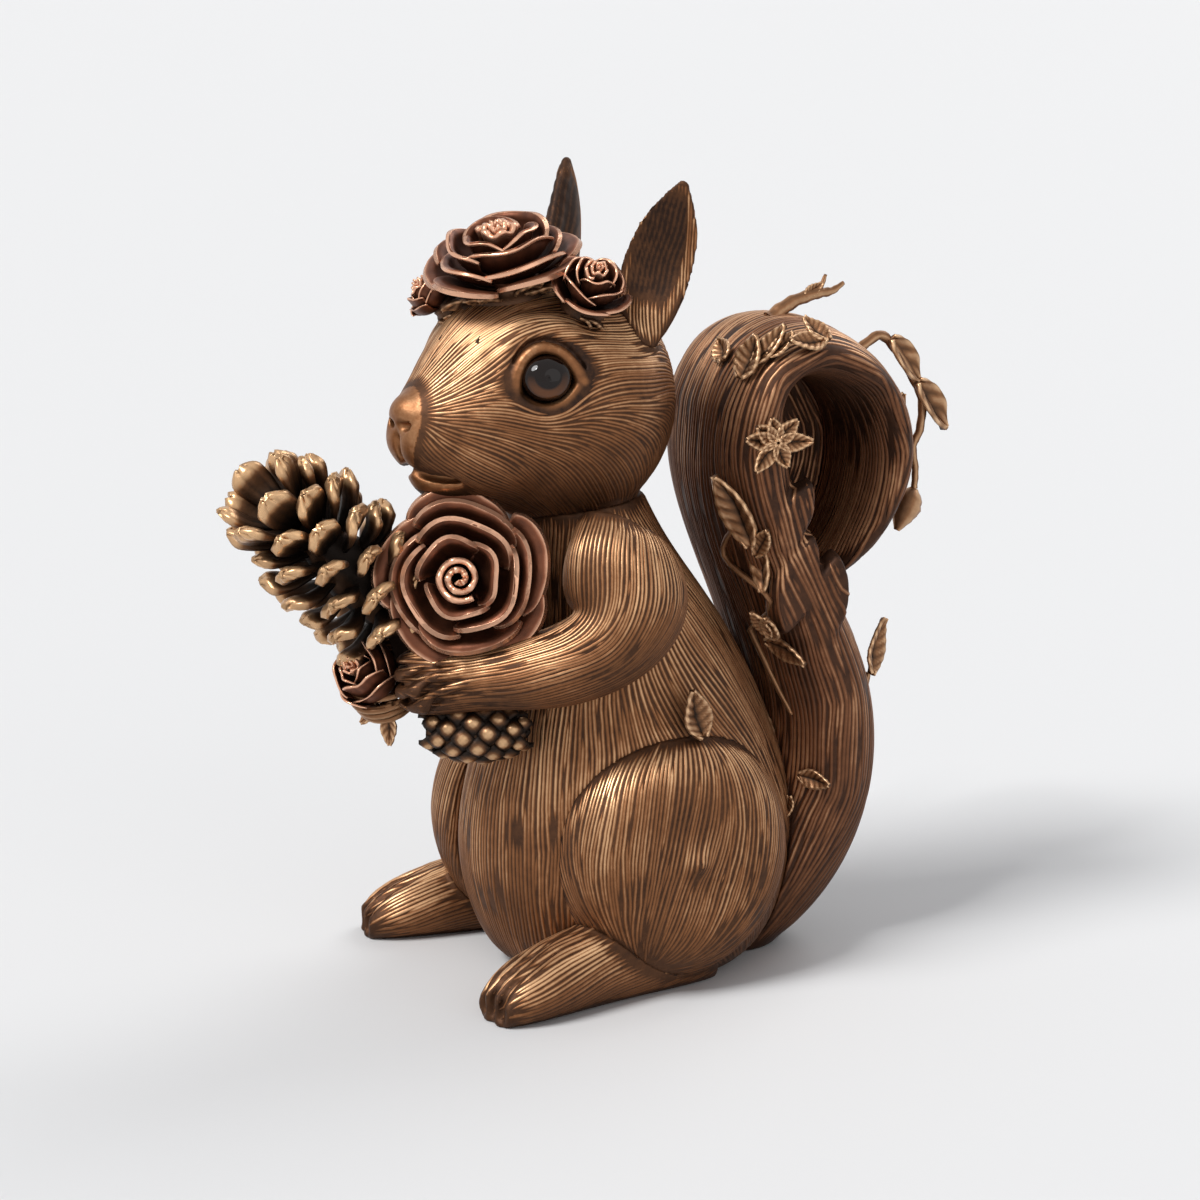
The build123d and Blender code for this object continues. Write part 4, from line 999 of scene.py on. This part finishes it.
# Leaves of the tail: back and up shares, heading in degrees, length and width in millimetres
TAIL_BACK = 100
TAIL_UP = 187
SPRIG = ((0.341, 0.663, 126, 22, 8), (0.381, 0.598, 143, 20, 6), (0.351, 0.647, 44, 11, 4))
CLUSTER = ((0.419, 0.521, 129, 9, 5), (0.432, 0.520, 57, 10, 5), (0.474, 0.510, 13, 15, 5))
CREST = ((0.262, 1.000, 17, 13, 5), (0.162, 0.980, 69, 12, 7), (0.367, 0.939, 141, 8, 5),
         (0.389, 0.978, 16, 9, 4), (0.581, 0.973, 180, 11, 5), (0.594, 0.974, 109, 9, 5))
STAR = tuple((0.411, 0.833, turn, size, 4) for turn, size in
             ((170, 10), (143, 8), (106, 7), (45, 8), (-1, 10), (-69, 7), (-136, 10)))
TENDRILS = ((0.496, 0.297, -12, 10, 4), (0.530, 0.257, -103, 7, 3))

# Stems by Y and Z, and those that stand clear of the tail by X, Y and Z
SPRIG_STEM = ((30.2, 133.6), (36.4, 119.9), (42.4, 109.1), (45.1, 97.0), (50.9, 81.5), (54.3, 72.1))
TWIG = ((0, 55, 186), (0, 62, 190.5), (0, 70, 192.6), (0.5, 75, 193.2), (0.5, 79, 195.4))
FORK = ((0, 68, 192.0), (0, 71.5, 194.5), (-0.4, 73.5, 198))
VINE = tuple((10, y, z) for y, z in
             ((76, 176.2), (80, 177.8), (86.1, 180.8), (91.2, 176.6), (97.5, 167.4), (100.7, 160.6),
              (100.2, 152), (98.0, 147), (98.9, 140), (98.7, 134.3)))
SHOOT = ((18, 70.0, 63.6), (18, 77.0, 72.0), (18, 79.6, 81.9))


def slope(turn, x=0):
    """A heading in the plane of the tail, by its angle in degrees above the way back."""
    return x, cos(radians(turn)), sin(radians(turn))


def on_tail(tree, back, up, lift=0.4):
    """Where a line from the left side meets the tail, and the way that its skin faces."""
    hit, normal = strike(tree, (90, back, up), (-1, 0, 0))
    if hit is None:
        hit, normal, _, _ = tree.find_nearest(Vector((26, back, up)))
        hit, normal = np.array(hit), np.array(normal)
    if normal[0] < 0:
        normal = -normal
    return hit + normal * lift, normal


def tail_leaves(tree, rows, fold=0.16):
    """Leaves lying on the tail."""
    parts = []
    for back, up, turn, length, width in rows:
        spot, normal = on_tail(tree, back * TAIL_BACK, up * TAIL_UP)
        parts.append(leaf(spot, slope(turn), normal, length * 1.08, width * 1.3, 0.10, 6, fold))
    return parts


def tail_stem(tree, rows):
    """A stem lying on the tail, through points given by Y and Z."""
    return tube([on_tail(tree, y, z, 0.6)[0] for y, z in rows], [1.0, 0.9, 0.6], 8, 0.5, 4 * len(rows), 0.08)


def rear_vine():
    """The vine that hangs behind the curl, with its leaves and its bud."""
    parts = [tube(VINE, [1.6, 1.5, 1.4, 1.2, 1.0], 8, 0.5, 50, 0.08)]
    for place, turn, length, width in (((10, 88.5, 179.4), -50, 17, 9), ((10, 97.6, 166), -52, 18, 9.5)):
        parts.append(leaf(place, slope(turn, 0.05), (0.85, 0.42, 0.3), length, width, -0.05, 3, 0.20))
    parts.append(leaf((10, 93.5, 163), (0.1, -0.5, -0.8), (0.9, 0.2, 0.2), 10, 3.6, 0.1, 3))
    (x, y, z), (_, back, up) = VINE[-1], slope(245)
    bud = [(x, y + s * back, z + s * up) for s in (0, 2.5, 6, 9.5, 13.5)]
    return parts + [tube(bud, [1.2, 3.6, 4.5, 3.2, 0.9], 14, 0.5, 22, 0.03)]


def make_tail_plants(tree):
    """Sprigs, leaves, the star, tendrils, twigs and vines of the tail."""
    top_twig = [tube(TWIG, [2.6, 2.0, 1.7, 1.2, 0.6], 10, 0.55, 24, 0.10),
                tube(FORK, [1.4, 0.9, 0.5], 8, 0.55, 12, 0.10),
                leaf((0, 66, 192), (0, 0.9, 0.5), (0.9, 0, 0.4), 7, 3)]
    side_shoot = [tube(SHOOT, [1.5, 1.2, 0.9], 8, 0.5, 14, 0.08),
                  leaf((18, 79.4, 81.4), slope(62), (0.8, 0.5, 0.1), 17, 8)]
    sprig = tail_leaves(tree, SPRIG) + [tail_stem(tree, SPRIG_STEM[:4])]
    cluster = tail_leaves(tree, CLUSTER) + [tail_stem(tree, SPRIG_STEM[3:])]
    for node, name, parts in (
        ("tail_sprig", "tail_sprig_leaves", sprig),
        ("tail_cluster", "tail_cluster_leaves", cluster),
        ("tail_crest_leaves", "tail_crest_leaf_blades", tail_leaves(tree, CREST)),
        ("tail_star", "tail_star_leaflets", tail_leaves(tree, STAR, 0.22)),
        ("tail_tendrils", "tail_tendril_leaves", tail_leaves(tree, TENDRILS)),
        ("tail_top_twig", "tail_top_twig_bark", top_twig),
        ("tail_rear_vine", "tail_rear_vine_leaves", rear_vine()),
        ("tail_side_shoot", "tail_side_shoot_leaf", side_shoot),
    ):
        ornament(name, parts, "leaf_bronze", node)


def make_hip_leaves(tree):
    """The leaf above the left haunch and the one behind the hip."""
    spot, normal = strike(tree, (90, 13.6, 75), (-1, 0, 0))
    normal = normal * (1 if normal[0] > 0 else -1)
    blade = leaf(spot + normal * 1.6, slope(107), normal, 15, 8.5)
    ornament("haunch_leaf_blade", [blade], "leaf_bronze", "haunch_leaf")
    low, high = (np.array(corner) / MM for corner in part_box("hip_leaf"))
    blade = leaf(((low[0] + high[0]) / 2 + 0.8, 47.3, 57.0), slope(112), (0.95, 0.25, 0.15), 24, 11.5)
    ornament("hip_leaf_blade", [blade], "leaf_bronze", "hip_leaf")


# Castings: their fur's directions and the work on their skins
UNDER_FUR = 0.16
BARE_SKIN = 0.52
TAIL_SPINE = ((38, -1.9), (53, 20.6), (67, 50.5), (66.5, 76.7), (57, 102.9), (47, 125.3), (40, 155.2),
              (46, 173), (60, 178.6), (76.5, 172), (86.5, 149.6), (82, 127.2), (71, 112.2))
ARM_PATH = ((25.6, -4.8, 137.6), (31.2, -9, 126.5), (36, -7.8, 114.1), (38, -13.2, 104.2), (34, -25.2, 99.2),
            (27.2, -37.2, 96.1), (20, -49.2, 94.2), (8.8, -67.2, 93))

# Each foot's heel and toe by X and Y, and the grooves between its toes across it
FEET = {1: ((28.6, 24), (40.8, -52.8)), -1: ((-31.6, 20.8), (-47.9, -56.8))}
TOE_GROOVES = (-0.48, 0.0, 0.48)

# Ear cups, by shares of the ear's length, with the radius of the cup there
EAR_CUP = ((0.30, 4.0), (0.42, 6.5), (0.56, 7.5), (0.70, 6.0), (0.82, 3.6), (0.92, 1.8), (1.0, 1.2))
CUP_DEPTH = 1.5

# Fingers of the near paw and the gaps beside them, from the wrist to the tip, by pixels of the photograph
FINGER_GAPS = (
    ((455, 668), (430, 671), (409, 681), (402, 684)), ((460, 680), (432, 686), (412, 699), (406, 702)),
    ((466, 690), (440, 699), (424, 712), (418, 716)), ((452, 655), (430, 662), (412, 664), (404, 666)),
)
FINGERS = (
    ((462, 661), (436, 664), (414, 671), (405, 675)), ((466, 673), (438, 678), (416, 689), (407, 693)),
    ((470, 684), (444, 691), (425, 704), (415, 709)),
)


def ear_axes(side):
    """An ear's root, its tip, the way it runs, the way it opens and the way across it."""
    points, _ = arrays("ear" + HANDS[side])
    tip = points[points[:, 2].argmax()].astype(float)
    root = in_head(side * 22.4, -7.6, 17.7)
    run = unit(tip - root)
    opens = np.array((0.93, -0.30 if side > 0 else -0.60, 0.12))
    opens = unit(opens - run * (opens @ run))
    return root, tip, run, opens, np.cross(run, opens)


def in_cup(side, places):
    """How far inside its cup each place on an ear is, from 0 at the rim to 1 along the middle."""
    root, tip, run, _, aside = ear_axes(side)
    off = places - root
    along = np.clip(off @ run / np.linalg.norm(tip - root), 0, 1)
    across = np.abs(off @ aside) / (8.6 * np.sin(pi * np.clip(along, 0.02, 0.98) ** 1.15) ** 0.75 + 0.1)
    return (1 - ease(across, 0.55, 0.95)) * ease(along, 0.26, 0.36) * (1 - ease(along, 0.84, 0.94))


def ear_mask(side, centres, normals):
    """Where an ear has fur: not in its cup."""
    return (in_cup(side, centres) < 0.5) | (normals @ ear_axes(side)[3] < 0.1)


def open_above(centres, normals):
    """Everywhere but the sole."""
    return (centres[:, 2] > 1.2) & ~((normals[:, 2] < -0.8) & (centres[:, 2] < 5))


def body_flow(centres, normals):
    """Down the neck, chest and belly, and down and back behind."""
    heading = np.zeros_like(centres)
    heading[:, 2] = -1
    heading[:, 1] = np.clip((centres[:, 1] + 12) / 30, 0, 1) * 0.7
    return heading


def haunch_flow(side, centres, normals):
    """Fans from the top of a thigh and gathers at its ankle."""
    off = centres - (side * 30.0, 12.0 if side > 0 else -1.0, 86.0)
    to = (side * 50.0, -8.0 if side > 0 else -14.0, 1.0) - centres
    return off / (off**2).sum(axis=1, keepdims=True) + to / (to**2).sum(axis=1, keepdims=True)


def straight_flow(way, centres, normals):
    """One direction all over."""
    return np.repeat(np.array(way, float)[None], len(centres), axis=0)


def foot_run(side):
    """The way from a foot's heel to its toes."""
    (heel_x, heel_y), (toe_x, toe_y) = FEET[side]
    return unit((toe_x - heel_x, toe_y - heel_y, 0))


def foot_flow(side, centres, normals):
    """Along a foot, falling over the toes."""
    run = foot_run(side)
    return straight_flow((run[0], run[1], -0.25), centres, normals)


def tail_flow(centres, normals):
    """Up the tail and round its curl, the same at every X."""
    return guided_flow([(0, y, z) for y, z in TAIL_SPINE], 5, centres * (0, 1, 1), normals)


def work_ear(side, clay, field):
    """Cups an ear on the side it opens to, and raises its rim."""
    tree = skin_tree(*arrays("ear" + HANDS[side]))
    root, tip, run, opens, aside = ear_axes(side)
    cup = []
    radii = []
    edges = ([], [])
    for share, radius in EAR_CUP:
        middle = root + run * (tip - root) @ run * share + aside * ((tip - root) @ aside) * share
        hit, _ = strike(tree, middle + opens * 30, -opens)
        if hit is None:
            hit = np.array(Vector(middle))
        if share < 0.9:
            cup.append(hit + opens * (radius - CUP_DEPTH))
            radii.append(radius)
        for edge, way in zip(edges, (1, -1)):
            rim, _ = strike(tree, hit - opens * 1.0 + aside * way * 25, -aside * way)
            if rim is not None and share < 0.99:
                edge.append(rim - aside * way * 1.0 + opens * 2.0)
    clay.rope(field, cup, radii, 1.0, cut=True)
    for edge in edges:
        edge.append(tip + opens * 0.8)
        if len(edge) > 2:
            clay.rope(field, smooth_line(edge, 18), [1.9] * 12 + [1.8, 1.6, 1.5, 1.4, 1.2, 1.0], 1.8)
    return field


def work_foot(side, clay, field):
    """Parts the toes of a foot."""
    tree = skin_tree(*arrays("foot" + HANDS[side]))
    toe = np.array((*FEET[side][1], 0.0))
    run = foot_run(side)
    for share in TOE_GROOVES:
        aside = np.cross(run, UP) * share * 9
        rays = [(toe - run * back + aside + UP * 60, -UP) for back in (20, 14, 8, 3, -1)]
        rays.append((toe + run * 30 + aside + UP * 3, -run))
        hits = [strike(tree, *ray)[0] for ray in rays]
        path = [hit for hit in hits if hit is not None]
        if len(path) > 2:
            clay.rope(field, path, [0.5] + [1.1] * (len(path) - 2) + [1.3], 1.0, cut=True)
    return field


def work_arm(side, clay, field):
    """Rounds the fingers of a paw and parts them, on the far paw by the near one's mirror."""
    tree = skin_tree(*arrays("arm_left"))
    for rows, sunk, thin, thick, blend, cut in ((FINGERS, 0.9, 1.0, 1.7, 2.0, False),
                                                (FINGER_GAPS, 0.0, 0.6, 1.15, 0.9, True)):
        for row in rows:
            hits = [strike(tree, camera_place, sight(px, py)) for px, py in row]
            path = [(hit - normal * sunk) * (side, 1, 1) for hit, normal in hits if hit is not None]
            if len(path) > 1:
                clay.rope(field, path, [thin] + [thick] * (len(path) - 1), blend, cut)
    return field


def skin_wear_and_shade(name, points):
    """How worn a skin is: dark under fur, rubbed on nose, lips and lids, and in the ears' cups darkened by
    painted shade, with faint streaks.
    """
    wear_and_light = np.full(len(points), UNDER_FUR)
    if name == "head":
        wear_and_light[~head_mask(points, points)] = BARE_SKIN
        for side in (1, -1):
            close = by_eye(side, points, 12.6, 11.4)
            lids = [lid_line(side, UPPER_LID, UPPER_LIFT, 40), lid_line(side, LOWER_LID, LOWER_LIFT, 40)]
            lids = np.concatenate(lids)
            gaps = np.sqrt(((points[close][:, None] - lids[None]) ** 2).sum(axis=2)).min(axis=1)
            wear_and_light[close] = 0.10 + 0.62 * (1 - ease(gaps, 1.2, 2.2))
    elif name.startswith("ear"):
        side = 1 if name == "ear_left" else -1
        root, *_, aside = ear_axes(side)
        # Painted shade: the middle of each ear's cup is darkened as a recess in shade, with faint streaks
        # across it.
        streaks = 0.5 + 0.5 * np.sin((points - root) @ aside * 4.4 + np.sin(points[:, 2] * 0.4))
        wear_and_light = wear_and_light + in_cup(side, points) * (0.14 * streaks - 0.13)
    return wear_and_light


# Each casting's fur flow, the gap between its hairs, where it has fur, its grid and the work on its skin
UPWARDS = partial(straight_flow, UP)
FAR_ARM_PATH = [(-x, y, z) for x, y, z in ARM_PATH]
CASTINGS = {
    "head": (head_flow, 0.9, head_mask, 0.56, work_head),
    "body": (body_flow, 1.2, open_above, 0.9, None),
    "haunch_left": (partial(haunch_flow, 1), 1.08, open_above, 0.8, None),
    "haunch_right": (partial(haunch_flow, -1), 1.08, open_above, 0.8, None),
    "tail": (tail_flow, 1.5, open_above, 0.8, None),
    "ear_left": (UPWARDS, 0.95, partial(ear_mask, 1), GRID, partial(work_ear, 1)),
    "ear_right": (UPWARDS, 0.95, partial(ear_mask, -1), GRID, partial(work_ear, -1)),
    "foot_left": (partial(foot_flow, 1), 1.2, open_above, GRID, partial(work_foot, 1)),
    "foot_right": (partial(foot_flow, -1), 1.2, open_above, GRID, partial(work_foot, -1)),
    "arm_left": (partial(guided_flow, ARM_PATH, 4), 1.0, open_above, GRID, partial(work_arm, 1)),
    "arm_right": (partial(guided_flow, FAR_ARM_PATH, 4), 1.0, open_above, GRID, partial(work_arm, -1)),
}

trees = {}
for order, (name, (flow, gap, mask, grid, work)) in enumerate(CASTINGS.items()):
    points, quads = cast(name, grid, work)
    trees[name] = skin_tree(points, quads)
    finish = "tail_bronze" if name == "tail" else "bronze"
    make_piece(name + "_skin", points, quads, skin_wear_and_shade(name, points), finish, name)
    fur = ribs(trace_fur(points, quads, flow, gap, mask, order + 1), gap, order)
    make_piece(name + "_fur", *fur, finish)

for side, name in ((1, "eye_left"), (-1, "eye_right")):
    ornament(name + "_ball", [eyeball(side)], "eye_glass", name)
nodes["posy_hub"].data.materials.clear()
nodes["posy_hub"].data.materials.append(FINISHES["bed_bronze"])
make_crown_bed(trees["head"])
make_flowers()
make_crown_leaves(trees["head"])
make_nest()
make_tail_plants(trees["tail"])
make_hip_leaves(trees["body"])

make_camera()
make_light()
make_floor()
